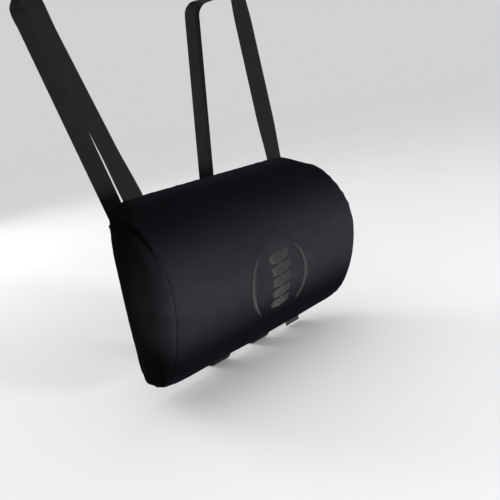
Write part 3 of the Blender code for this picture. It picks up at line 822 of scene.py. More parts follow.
@dataclass
class Cover:
    """The velour cover, filled by cloth simulation and then cut into its panels."""

    looks: Wardrobe
    outline: Outline
    half: float  # from the middle to an end seam
    zip_height: float
    opening: float = 0.005  # half the opening at the zip
    columns: int = 76
    turn_rows: int = 18  # over the top, and again under the bottom
    front_rows: int = 40
    lower_rows: int = 10
    opening_rows: int = 2
    bulge: float = 0.0135
    bulge_power: float = 0.62
    relaxing: int = 14  # rounds of smoothing of the end panels' grid
    steps: int = 20  # of the cloth simulation
    cap: float = 0.0045  # the furthest that the simulation moves the cloth
    corner: Pair = (0.012, 0.004)  # how far the top rear corners sink, and move in
    corner_rounds: int = 8  # rounds of smoothing of the rear corners
    corner_reaches: Pair = (0.024, 0.015)
    thickness: float = 0.0015
    valley: Pair = (0.0017, 0.0028)  # depth and width of the crease at a seam
    roll: Pair = (0.0022, 0.013)  # depth and width of the soft roll beside it
    pucker: float = 0.0005
    turn_reach: float = 0.012  # over which the sinking turns from the seam's way to the cloth's own
    drift: Pair = (0.0016, 0.0005)  # broad and small unevenness of the cloth
    drift_reach: float = 0.04  # over which it grows from the seam
    back_share: float = 0.45  # of the sinking, on the flat back
    end_valley: tuple[float, ...] = (0.074, 0.030, 0.005, 0.008, 0.0075)  # height, span, middle, reach, depth
    dents: tuple[tuple[float, ...], ...] = (
        (-0.040, 0.040, 0.022, 0.0025),
        (-0.030, -0.090, 0.030, 0.0030),
        (-0.074, -0.020, 0.034, -0.0020),
    )  # in the end panels: depth and height of the middle, reach, and how deep
    turned: Pair = (0.0007, 0.0023)  # the two steps by which a panel's edge is turned in
    hem: float = 0.010
    hem_reach: float = 0.0012  # how close to the hem's level its edge lies

    def build(self) -> None:
        """Builds and dresses the five panels."""
        self.form = self._start_form()
        self._fill()
        self._refine()
        self._sew()
        self.skin = BVHTree.FromObject(self.form, bpy.context.evaluated_depsgraph_get())
        for panel, name in (
            (Panel.FRONT, "front_panel"),
            (Panel.LEFT_END, "left_end_panel"),
            (Panel.RIGHT_END, "right_end_panel"),
            (Panel.BACK_UPPER, "back_panel_upper"),
            (Panel.BACK_LOWER, "back_panel_lower"),
        ):
            self._cut_panel(panel, name)

    def _place(self, x: float, y: float, z: float) -> Vector:
        """The start form's place of a point on a cube from -1 to 1.

        Args:
            x: Across the width.
            y: -1 at the front and 1 at the back.
            z: -1 at the bottom and 1 at the top.

        Returns:
            The place, in metres.
        """
        rows = 2 * self.turn_rows + self.front_rows
        turn, middle = self.turn_rows / rows, self.front_rows / rows
        length = self.outline.length
        s, r = (y + 1) / 2, (z + 1) / 2

        def curve(share: float) -> Vector:
            return self.outline.at(share * length)[0]

        top, front = curve((1 - s) * turn), curve(turn + (1 - r) * middle)
        bottom, back = curve(1 - turn + s * turn), Vector((0.0, self._back_level(r)))
        corners = (
            curve(turn + middle) * ((1 - s) * (1 - r))
            + curve(turn) * ((1 - s) * r)
            + Vector((0.0, -self.outline.down)) * (s * (1 - r))
            + Vector((0.0, self.outline.up)) * (s * r)
        )
        flat = front * (1 - s) + back * s + bottom * (1 - r) + top * r - corners
        swell = ((1 - (2 * s - 1) ** 2) * (1 - (2 * r - 1) ** 2)) ** self.bulge_power
        reach = self.half + self.bulge * swell if abs(x) > 0.9999 else self.half * abs(x)
        return Vector((math.copysign(reach, x), flat.x, flat.y))

    def _back_level(self, share: float) -> float:
        """Height of a row of the back, with two rows at the edges of the zip's opening."""
        low, high = self.zip_height - self.opening, self.zip_height + self.opening
        first = self.lower_rows / self.front_rows
        second = (self.lower_rows + self.opening_rows) / self.front_rows
        stops = (0.0, first, second, 1.0)
        return float(np.interp(share, stops, (-self.outline.down, low, high, self.outline.up)))

    def _start_form(self) -> bpy.types.Object:
        """A cube, cut into rows and columns and drawn out to the cushion's form."""
        bm = bmesh.new()
        bmesh.ops.create_cube(bm, size=2.0)
        for axis, cuts in enumerate((self.columns - 1, self.turn_rows - 1, self.front_rows - 1)):
            edges = [e for e in bm.edges if abs(e.verts[0].co[axis] - e.verts[1].co[axis]) > 1.5]
            bmesh.ops.subdivide_edges(bm, edges=edges, cuts=cuts, use_grid_fill=True)
        for face in bm.faces:
            face.material_index = self._panel_of(face.calc_center_median())
        crease = bm.edges.layers.float.new("crease_edge")
        for edge in bm.edges:
            labels = {f.material_index for f in edge.link_faces}
            edge[crease] = 1.0 if len(labels) > 1 else 0.0
        for vert in bm.verts:
            vert.co = self._place(*vert.co)
        ends = {Panel.LEFT_END, Panel.RIGHT_END}
        inner = [v for v in bm.verts if {f.material_index for f in v.link_faces} <= ends]
        relax(bm, inner, self.relaxing)
        mesh = bpy.data.meshes.new("cover_form")
        bm.to_mesh(mesh)
        bm.free()
        for _ in Panel:
            mesh.materials.append(self.looks.velour)
        form = bpy.data.objects.new("cover_form", mesh)
        bpy.context.scene.collection.objects.link(form)
        return form

    def _panel_of(self, centre: Vector) -> Panel:
        """The panel of a face of the cube."""
        if abs(centre.x) > 0.9999:
            return Panel.LEFT_END if centre.x < 0 else Panel.RIGHT_END
        if centre.y > 0.9999:
            row = (centre.z + 1) / 2 * self.front_rows
            if row < self.lower_rows:
                return Panel.BACK_LOWER
            return Panel.OPENING if row < self.lower_rows + self.opening_rows else Panel.BACK_UPPER
        return Panel.FRONT

    def _fill(self) -> None:
        """Blows the cloth up against its seams, with the back held flat."""
        form = self.form
        rest = positions(form.data)
        held = form.vertex_groups.new(name="held")
        back = [i for i, y in enumerate(rest[:, 1]) if y > -1e-5]
        held.add(back, 1.0, "REPLACE")
        cloth = form.modifiers.new("fill", "CLOTH")
        settings = cloth.settings
        settings.quality = 6
        settings.mass = 0.25
        settings.use_pressure = True
        settings.uniform_pressure_force = 4.0
        settings.tension_stiffness = 22.0
        settings.compression_stiffness = 14.0
        settings.shear_stiffness = 8.0
        settings.bending_stiffness = 0.4
        settings.vertex_group_mass = "held"
        settings.effector_weights.gravity = 0.0
        scene = bpy.context.scene
        for step in range(1, self.steps + 1):
            scene.frame_set(step)
        bake_modifiers(form)
        scene.frame_set(1)
        moved = positions(form.data) - rest
        reach = np.linalg.norm(moved, axis=1, keepdims=True)
        LOG.info("filling moved the cover by up to %.1f mm", 1000 * reach.max())
        moved *= np.minimum(1.0, self.cap / np.maximum(reach, 1e-9))
        set_positions(form.data, rest + moved)

    def _refine(self) -> None:
        """One subdivision, with the seams kept as creases."""
        change = self.form.modifiers.new("fine", "SUBSURF")
        change.levels = change.render_levels = 1
        bake_modifiers(self.form)

    def _seam_points(self) -> tuple[np.ndarray, KDTree]:
        """The seams' vertices.

        Returns:
            Their indices, and a tree that finds the nearest one.
        """
        bm = bmesh.new()
        bm.from_mesh(self.form.data)
        back = {Panel.BACK_LOWER, Panel.BACK_UPPER, Panel.OPENING}
        found = set()
        for edge in bm.edges:
            labels = {f.material_index for f in edge.link_faces}
            if len(labels) > 1 and not labels <= back:
                found |= {v.index for v in edge.verts}
        indices = sorted(found)
        tree = KDTree(len(indices))
        for i, index in enumerate(indices):
            tree.insert(self.form.data.vertices[index].co, i)
        tree.balance()
        bm.free()
        return np.array(indices), tree

    def _sew(self) -> None:
        """Draws the seams in, puckers the cloth beside them and softens the whole form."""
        mesh = self.form.data
        places, outward = positions(mesh), normals(mesh)
        indices, tree = self._seam_points()
        seams = places[indices]
        near = [tree.find(p) for p in places]
        distance = np.array([n[2] for n in near])
        nearest = [n[1] for n in near]
        origin = seams[nearest]
        turn = ease(distance / self.turn_reach)[:, None]
        ways = outward * turn + outward[indices][nearest] * (1.0 - turn)
        ways /= np.maximum(np.linalg.norm(ways, axis=1, keepdims=True), 1e-9)
        ripple = cloth_noise(origin, 95.0)
        ridge = cloth_noise(origin, 210.0, (7, 3, 1))
        wide = cloth_noise(places, 11.0)
        small = cloth_noise(places, 30.0, (2, 9, 4))
        inward = self.valley[0] * np.exp(-((distance / self.valley[1]) ** 2)) * (1 + 0.35 * ripple)
        inward += self.roll[0] * np.exp(-((distance / self.roll[1]) ** 2)) * (1 + 0.3 * ripple)
        folds = ripple * 0.7 + ridge * 0.5
        inward -= self.pucker * folds * distance / 0.004 * np.exp(-distance / 0.009)
        inward -= ease(distance / self.drift_reach) * (self.drift[0] * wide + self.drift[1] * small)
        x, y, z = places.T
        front = ease(-y / 0.02)
        places -= ways * (inward * np.maximum(front, self.back_share))[:, None]
        places -= self._corner_sink(x, y, z)
        places += self._end_dents(x, y, z, distance)
        places[:, 1] = np.minimum(places[:, 1], 0.0)
        places[:, 2] = np.clip(places[:, 2], -self.outline.down - 0.001, self.outline.up + 0.002)
        set_positions(mesh, places)
        self._round_corners()

    def _round_corners(self) -> None:
        """Smooths the cloth round the four rear corners."""
        bm = bmesh.new()
        bm.from_mesh(self.form.data)
        heights = (-self.outline.down, self.outline.up)
        corners = [Vector((way * self.half, 0.0, z)) for way in WAYS for z in heights]
        for reach in self.corner_reaches:
            near = [v for v in bm.verts if any((v.co - c).length < reach for c in corners)]
            relax(bm, near, self.corner_rounds)
        bm.to_mesh(self.form.data)
        bm.free()

    def _corner_sink(self, x: np.ndarray, y: np.ndarray, z: np.ndarray) -> np.ndarray:
        """How far the rear corners are drawn down and in.

        Args:
            x: Places across the width.
            y: Places in depth.
            z: Heights.

        Returns:
            The move to take away from each place.
        """
        outer = ease((np.abs(x) - (self.half - 0.034)) / 0.034)
        rear = ease((y + 0.060) / 0.060)
        high = ease((z - (self.outline.up - 0.065)) / 0.065)
        low = ease((-self.outline.down + 0.045 - z) / 0.045)
        weight = outer * rear * (high - 0.55 * low)
        sink, pull = self.corner
        inward = np.sign(x) * np.abs(weight) * pull
        return np.stack((inward, np.zeros_like(x), sink * weight), axis=1)

    def _end_dents(self, x: np.ndarray, y: np.ndarray, z: np.ndarray, distance: np.ndarray) -> np.ndarray:
        """Soft hollows in the end panels: a valley under the upper seam, and dents below it.

        Args:
            x: Places across the width.
            y: Places in depth.
            z: Heights.
            distance: How far each place is from a seam.

        Returns:
            The move to add to each place.
        """
        ends = ease((np.abs(x) - (self.half - 0.004)) / 0.008)
        level, span, middle, reach, deepest = self.end_valley
        along = np.exp(-(((z - level) / span) ** 2)) * ease((-0.006 - y) / 0.020)
        move = deepest * along * np.exp(-(((distance - middle) / reach) ** 2))
        for middle_y, middle_z, radius, depth in self.dents:
            away = ((y - middle_y) ** 2 + (z - middle_z) ** 2) / radius**2
            move += depth * np.exp(-away)
        return np.stack((-np.sign(x) * ends * move, np.zeros_like(x), np.zeros_like(x)), axis=1)

    def _cut_panel(self, panel: Panel, name: str) -> None:
        """Cuts one panel out of the form, turns its edges in and gives it its thickness.

        Args:
            panel: Which panel.
            name: Its piece's name, and the node's that it stands for.
        """
        bm = bmesh.new()
        bm.from_mesh(self.form.data)
        bm.normal_update()
        outward = {v.index: v.normal.copy() for v in bm.verts}
        others = [f for f in bm.faces if f.material_index != panel]
        tag = bm.verts.layers.int.new("form_vertex")
        for vert in bm.verts:
            vert[tag] = vert.index
        bmesh.ops.delete(bm, geom=others, context="FACES")
        for face in bm.faces:
            face.material_index = 0
        rim = [e for e in bm.edges if e.is_boundary]
        hem_level = self.zip_height + (self.opening if panel == Panel.BACK_UPPER else -self.opening)
        way = 1 if panel == Panel.BACK_UPPER else -1
        at_zip = panel in (Panel.BACK_UPPER, Panel.BACK_LOWER)
        for step in self.turned:
            made = bmesh.ops.extrude_edge_only(bm, edges=rim)["geom"]
            fresh = set(made)
            rim = [e for e in made if isinstance(e, bmesh.types.BMEdge) and e.is_boundary]
            rim = [e for e in rim if fresh.issuperset(e.verts)]
            for vert in {v for e in rim for v in e.verts}:
                if at_zip and abs(vert.co.z - hem_level) < self.hem_reach:
                    vert.co.y -= step
                else:
                    vert.co -= outward[vert[tag]] * step
        if at_zip:
            edges = [e for e in rim if all(abs(v.co.z - hem_level) < self.hem_reach for v in e.verts)]
            made = bmesh.ops.extrude_edge_only(bm, edges=edges)["geom"]
            turned = [v for v in made if isinstance(v, bmesh.types.BMVert)]
            bmesh.ops.translate(bm, verts=turned, vec=(0, 0, way * self.hem))
        piece = to_object(f"{name}_velour", bm, self.looks.velour)
        thicken(piece, self.thickness, -1.0)
        seat(piece, "cushion", "velour", name)


@dataclass
class Filling:
    """The foam block and the open sleeve round it, made from the cover's own form."""

    looks: Wardrobe
    cover: Cover
    liner_inset: float = 0.0042
    foam_inset: float = 0.0066
    softening: int = 14  # rounds of smoothing, so that the filling keeps clear of the seams
    groove: Pair = (0.020, 0.0090)  # half height and depth of the hollow behind the zip
    groove_edge: float = 0.008
    sleeve_short: float = 0.008  # how far inside the end seams the sleeve ends

    def build(self) -> None:
        """Builds the foam and its sleeve."""
        foam = self._inner("foam_core", self.foam_inset, self.looks.foam)
        seat(foam, "cushion", "foam", "foam_core")
        liner = self._inner("inner_liner", self.liner_inset, self.looks.lining)
        self._open_ends(liner)
        thicken(liner, 0.0007, -1.0)
        seat(liner, "cushion", "liner_cloth", "inner_liner")

    def _inner(self, name: str, inset: float, look: bpy.types.Material) -> bpy.types.Object:
        """A copy of the cover's form, drawn inwards and hollowed behind the zip.

        Args:
            name: The piece's name.
            inset: How far inside the cover it lies.
            look: Its material.

        Returns:
            The piece.
        """
        bm = bmesh.new()
        bm.from_mesh(self.cover.form.data)
        relax(bm, bm.verts, self.softening)
        bm.normal_update()
        moves = {v: v.normal * inset for v in bm.verts}
        for vert, move in moves.items():
            vert.co -= move
        half, depth = self.groove
        level = self.cover.zip_height
        for vert in bm.verts:
            if vert.co.y > -0.030:
                share = smooth((half + self.groove_edge - abs(vert.co.z - level)) / self.groove_edge)
                floor = -inset - depth * share
                vert.co.y = min(vert.co.y, floor)
        bmesh.ops.recalc_face_normals(bm, faces=bm.faces)
        return to_object(f"{name}_block", bm, look)

    def _open_ends(self, liner: bpy.types.Object) -> None:
        """Cuts the sleeve square, just inside the end seams."""
        bm = bmesh.new()
        bm.from_mesh(liner.data)
        for way in WAYS:
            bmesh.ops.bisect_plane(
                bm,
                geom=[*bm.verts, *bm.edges, *bm.faces],
                dist=1e-6,
                plane_co=(way * (self.cover.half - self.sleeve_short), 0, 0),
                plane_no=(way, 0, 0),
                clear_outer=True,
            )
        bm.to_mesh(liner.data)
        bm.free()


@dataclass
class Drape:
    """Places things on the cover's front by (x, arc, lift), on the filled surface."""

    outline: Outline
    skin: BVHTree

    def at(self, x: float, arc: float, lift: float) -> Vector:
        """A place over the front.

        Args:
            x: Across the width.
            arc: Distance down the front from the top rear edge.
            lift: Height above the cloth.

        Returns:
            The place, in metres.
        """
        point, normal = self.outline.at(arc)
        start = Vector((x, point.x, point.y))
        out = Vector((0.0, normal.x, normal.y))
        hit = self.skin.ray_cast(start + out * 0.02, -out, 0.05)[0]
        return (hit or start) + out * lift


@dataclass
class Emblem:
    """Satin-stitched motif: a column of five vertebrae between two arcs."""

    looks: Wardrobe
    drape: Drape
    middle: float = 0.190
    height: float = 0.076
    bones: int = 5
    pitch: float = 0.00046
    radius: float = 0.00030
    lift: float = 0.0004
    crown: float = 0.00045
    dip: float = 0.0005  # how far a strand's ends go down into the cloth
    slant: float = 0.10
    unevenness: float = 0.00025
    waist: float = 0.0022  # half the width between two bones
    bone: Pair = (0.0185, 0.0045)  # what a bone adds to it, and how much of that is lost on the way down
    bone_share: float = 0.84  # of the pitch from bone to bone
    arc_ends: float = 0.0008
    arc_belly: float = 0.0034
    arc_radius: Pair = (0.046, 0.050)
    arc_offset: float = 0.004
    spread: float = math.radians(50)

    def build(self) -> None:
        """Builds the spine and both arcs."""
        self._satin("emblem_spine", self._spine_line, self._spine_width, self.height)
        length = 2 * self.spread * self.arc_radius[1]
        for name, side in (("emblem_arc_left", Side.LEFT), ("emblem_arc_right", Side.RIGHT)):

            def line(share: float, side: Side = side) -> Vector:
                angle = self.spread * (2 * share - 1)
                x = side.value * (self.arc_offset + self.arc_radius[0] * math.cos(angle))
                return Vector((x, self.middle + self.arc_radius[1] * math.sin(angle)))

            self._satin(name, line, self._arc_width, length)

    def _spine_line(self, share: float) -> Vector:
        """The middle of the spine, as (x, arc)."""
        return Vector((0.0, self.middle + (share - 0.5) * self.height))

    def _spine_width(self, share: float) -> float:
        """Half the spine's width: each bone is a rounded block, smaller further down."""
        place = abs(2 * ((share * self.bones) % 1.0) - 1)
        shape = math.sqrt(max(0.0, 1 - (place / self.bone_share) ** 6))
        return self.waist + (self.bone[0] - self.bone[1] * share) * shape

    def _arc_width(self, share: float) -> float:
        """Half an arc's width, tapered at both ends."""
        return self.arc_ends + self.arc_belly * math.cos(math.radians(-86 + 172 * share))

    def _satin(
        self, name: str, line: Callable[[float], Vector], width: Callable[[float], float], length: float
    ) -> None:
        """Lays threads side by side across a line.

        Args:
            name: The piece's name, and the node's that it stands for.
            line: The middle line, as (x, arc) at each share.
            width: Half the width at each share.
            length: The line's length.
        """
        bm = bmesh.new()
        strand = self._strand()
        count = int(length / self.pitch)
        for i in range(count + 1):
            share = i / count
            along = (line(min(1.0, share + 0.01)) - line(max(0.0, share - 0.01))).normalized()
            reach = width(share) + self.unevenness * noise.noise(Vector((i * 0.9, 0, 0)))
            across = (Vector((-along.y, along.x)) + self.slant * along) * reach
            start = len(bm.verts)
            bm.from_mesh(strand)
            bm.verts.ensure_lookup_table()
            for vert in bm.verts[start:]:
                end = vert.co.z
                rise = self.crown * (1 - end**2) - self.dip * abs(end) ** 6
                flat = line(share) + across * end + along * (vert.co.x * self.radius)
                vert.co = self.drape.at(flat.x, flat.y, self.lift + rise + vert.co.y * self.radius)
        bpy.data.meshes.remove(strand)
        bmesh.ops.recalc_face_normals(bm, faces=bm.faces)
        seat(to_object(f"{name}_satin", bm, self.looks.satin), "cushion", "emblem_thread", name)

    @staticmethod
    def _strand() -> bpy.types.Mesh:
        """One straight length of yarn from -1 to 1 along Z, cut into four."""
        bm = bmesh.new()
        bmesh.ops.create_cone(bm, cap_ends=True, segments=5, radius1=1.0, radius2=1.0, depth=2.0)
        edges = [e for e in bm.edges if abs(e.verts[0].co.z - e.verts[1].co.z) > 1]
        bmesh.ops.subdivide_edges(bm, edges=edges, cuts=3)
        mesh = bpy.data.meshes.new("strand")
        bm.to_mesh(mesh)
        bm.free()
        return mesh


# --------------------------------------------------------------------- the zip


@dataclass
class ZipFastener:
    """Coil zip across the back: tapes, teeth, stops, slider and pull."""

    looks: Wardrobe
    level: float
    tooth_pitch: float = 0.00125
    tooth: Place = (0.00042, 0.00078, 0.0020)  # half sizes
    tooth_level: float = 0.0019  # from the middle of the zip to a tooth's middle
    foot_level: float = 0.0034
    stop_edge: float = 0.00025
    stop_waist: float = 0.00012  # depth of the groove round a stop
    plate: float = 0.0011  # thickness of the slider's plates
    bridge: tuple[float, float] = (0.0035, 0.0005)  # length, and half the thickness
    ear: Place = (0.0028, 0.0014, 0.0008)  # length, height and thickness
    ear_start: float = 0.0016
    ear_level: float = 0.0032
    taper: Pair = (0.72, 1.6)  # the plates' height at the nose, and how soon they reach it in full
    tab: float = 0.0009  # thickness of the pull
    tab_edge: float = 0.00022
    hole: Place = (1.15, 0.5, 1.2)  # place, size and stretch, in half widths of the pull
    pin_radius: float = 0.0006
    stitch: float = 0.0032  # from one stitch to the next
    stitch_length: float = 0.0026
    stitch_radius: float = 0.00022
    stitch_level: float = -0.00005
    stitch_rows: Pair = (0.0068, 0.0112)
    stitch_margin: float = 0.006

    def build(self) -> None:
        """Builds every piece of the zip."""
        for word, way in (("upper", 1), ("lower", -1)):
            self._tape(word, way)
            self._teeth(word, way)
            self._stop(f"zip_top_stop_{word}")
        self._stop("zip_bottom_stop")
        self._slider()
        self._pull()
        self._hem_stitches()

    def _tape(self, word: str, way: int) -> None:
        """A woven tape of even thickness, slightly wavy."""
        name = f"zip_tape_{word}"
        low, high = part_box(name)
        bm = bmesh.new()
        bmesh.ops.create_grid(bm, x_segments=150, y_segments=8, size=0.5)
        for vert in bm.verts:
            x = low.x + (vert.co.x + 0.5) * (high.x - low.x)
            z = low.z + (vert.co.y + 0.5) * (high.z - low.z)
            wave = 0.00012 * noise.noise(Vector((x * 60, z * 60, way)))
            vert.co = Vector((x, low.y + wave, z))
        bmesh.ops.recalc_face_normals(bm, faces=bm.faces)
        piece = to_object(f"{name}_woven", bm, self.looks.tape)
        thicken(piece, high.y - low.y, 0.0)
        seat(piece, "cushion", "zip_tape", name)

    def _teeth(self, word: str, way: int) -> None:
        """The rounded turns of one coil, with their stitched foot along the tape."""
        name = f"zip_coil_{word}"
        low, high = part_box(name)
        centre = (low + high) / 2
        bm = bmesh.new()
        count = int((high.x - low.x) / self.tooth_pitch)
        shift = 0.25 * self.tooth_pitch * way
        tooth = bead(8, 5)
        for i in range(count):
            x = low.x + (i + 0.5) * self.tooth_pitch + shift
            size = Matrix.Diagonal((*self.tooth, 1.0))
            place = Matrix.Translation((x, centre.y, self.level + way * self.tooth_level))
            add_copy(bm, tooth, place @ size)
        foot = self.level + way * self.foot_level
        foot_low = (low.x, centre.y - 0.0005, foot - 0.0003)
        foot_high = (high.x, centre.y + 0.0004, foot + 0.0003)
        add_box(bm, foot_low, foot_high, 0.0002)
        seat(to_object(f"{name}_teeth", bm, self.looks.coil), "cushion", "zip_coil", name)

    def _stop(self, name: str) -> None:
        """A pressed metal stop with a groove round its middle."""
        low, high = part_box(name)
        bm = bmesh.new()
        third = (high.x - low.x) / 3
        for i in range(3):
            slim = self.stop_waist if i == 1 else 0.0
            start = Vector((low.x + i * third, low.y + slim, low.z + slim))
            end = Vector((low.x + (i + 1) * third, high.y - slim, high.z - slim))
            add_box(bm, start, end, self.stop_edge)
        seat(to_object(f"{name}_pressed", bm, self.looks.metal), "cushion", "zip_metal", name)

    def _slider(self) -> None:
        """Two shield-shaped plates, the bridge between them and the ears for the pull."""
        name = "zip_slider"
        low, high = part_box(name)
        middle = (low + high) / 2
        bm = bmesh.new()
        ear_length, ear_height, ear_thickness = self.ear
        top = high.y - ear_height
        for y in (low.y, top - self.plate):
            start = len(bm.verts)
            add_box(bm, (low.x, y, low.z), (high.x, y + self.plate, high.z), 0.0005, 3)
            bm.verts.ensure_lookup_table()
            for vert in bm.verts[start:]:
                share = (high.x - vert.co.x) / (high.x - low.x)
                height = self.taper[0] + (1 - self.taper[0]) * smooth(share * self.taper[1])
                vert.co.z = middle.z + (vert.co.z - middle.z) * height
        length, thickness = self.bridge
        rear, ahead = low.y + self.plate / 2, top - self.plate / 2
        bridge_low = (middle.x, rear, middle.z - thickness)
        bridge_high = (middle.x + length, ahead, middle.z + thickness)
        add_box(bm, bridge_low, bridge_high, 0.0001)
        for way in WAYS:
            x, z = middle.x + self.ear_start, middle.z + way * self.ear_level
            ear_low = (x, ahead, z - ear_thickness / 2)
            add_box(bm, ear_low, (x + ear_length, high.y, z + ear_thickness / 2), 0.0003)
        seat(to_object(f"{name}_cast", bm, self.looks.metal), "zip_slider", "zip_metal", name)

    def _pull(self) -> None:
        """A pull tab with a round pin, rounded ends and a hole."""
        name = "zip_pull"
        low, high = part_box(name)
        middle = (low + high) / 2
        pin = next(j for j in frame["joints"] if j["name"] == "zip_pull_swing")["pos_m"]
        bm = bmesh.new()
        ring = bmesh.ops.create_circle(bm, segments=32, radius=1.0)["verts"]
        half_length, half_width = (pin[0] - low.x) / 2, (high.z - low.z) / 2
        straight = half_length - half_width
        for vert in ring:
            shift = straight if vert.co.x > 1e-6 else -straight if vert.co.x < -1e-6 else 0.0
            flat = vert.co * half_width
            vert.co = Vector((pin[0] - half_length + flat.x + shift, middle.y, middle.z + flat.y))
        hole = bmesh.ops.create_circle(bm, segments=32, radius=1.0)["verts"]
        inset, size, stretch = self.hole
        for vert in hole:
            flat = vert.co * (half_width * size)
            vert.co = Vector((low.x + half_width * inset + flat.x * stretch, middle.y, middle.z + flat.y))
        edges = list({e for v in (*ring, *hole) for e in v.link_edges})
        bmesh.ops.bridge_loops(bm, edges=edges)
        bmesh.ops.recalc_face_normals(bm, faces=bm.faces)
        bmesh.ops.solidify(bm, geom=bm.faces[:], thickness=self.tab)
        centre = min(v.co.y for v in bm.verts) + self.tab / 2
        bmesh.ops.translate(bm, verts=bm.verts, vec=(0, middle.y - centre, 0))
        bmesh.ops.create_cone(
            bm,
            cap_ends=True,
            segments=16,
            radius1=self.pin_radius,
            radius2=self.pin_radius,
            depth=high.z - low.z,
            matrix=Matrix.Translation(pin),
        )
        bmesh.ops.recalc_face_normals(bm, faces=bm.faces)
        piece = to_object(f"{name}_tab", bm, self.looks.metal, smooth_faces=False)
        round_off = piece.modifiers.new("edges", "BEVEL")
        round_off.width = self.tab_edge
        round_off.segments = 2
        round_off.limit_method = "ANGLE"
        seat(piece, "zip_pull", "zip_metal", name)

    def _hem_stitches(self) -> None:
        """Two rows of topstitching on each side of the opening."""
        low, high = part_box("back_panel_upper")
        bm = bmesh.new()
        shape = bead(6, 4)
        count = int((high.x - low.x - 2 * self.stitch_margin) / self.stitch)
        along = Vector((self.stitch_length, 0, 0))
        for way in WAYS:
            for row in self.stitch_rows:
                z = self.level + way * row
                for i in range(count):
                    start = Vector((low.x + self.stitch_margin + i * self.stitch, self.stitch_level, z))
                    add_stitch(bm, shape, start, start + along, self.stitch_radius)
        seat(to_object("zip_hem_stitches", bm, self.looks.thread), "cushion", "velour")


# ------------------------------------------------------------------ the straps


@dataclass
class Ribbon:
    """A length of webbing that follows a path."""

    points: list[Vector]
    across: Callable[[Vector], Vector]
    columns: int = 10
    dome: float = 0.00012  # how far the middle stands above the edges
    trim: float = 0.0002  # left off each edge

    def frames(self) -> list[tuple[Vector, Vector, Vector, float]]:
        """Point, width and normal along the path, with the length so far."""
        made, length = [], 0.0
        last = len(self.points) - 1
        for i, point in enumerate(self.points):
            before, after = self.points[max(i - 1, 0)], self.points[min(i + 1, last)]
            along = (after - before).normalized()
            wide = self.across(point)
            wide = (wide - along * wide.dot(along)).normalized()
            if i:
                length += (point - before).length
            made.append((point, wide, along.cross(wide), length))
        return made

    def build(self, name: str, look: bpy.types.Material) -> bpy.types.Object:
        """Makes the webbing, with its UV map in metres.

        Args:
            name: The piece's name.
            look: Its material.

        Returns:
            The piece, with its modifiers live.
        """
        spots = self.frames()
        rows = len(spots) - 1
        bm = bmesh.new()
        bmesh.ops.create_grid(bm, x_segments=self.columns, y_segments=rows, size=1.0)
        cloth = bm.loops.layers.uv.new("cloth")
        flat = {}
        for vert in bm.verts:
            share, row = vert.co.x, round((vert.co.y + 1) / 2 * rows)
            point, wide, normal, length = spots[row]
            flat[vert] = (share * WEBBING / 2, length)
            lift = self.dome * (1 - share**2)
            vert.co = point + wide * (share * (WEBBING / 2 - self.trim)) + normal * lift
        for face in bm.faces:
            for loop in face.loops:
                loop[cloth].uv = flat[loop.vert]
        piece = to_object(f"{name}_webbing", bm, look)
        thicken(piece, WEBBING_THICKNESS - 0.0001, 0.0)
        subdivide(piece)
        return piece


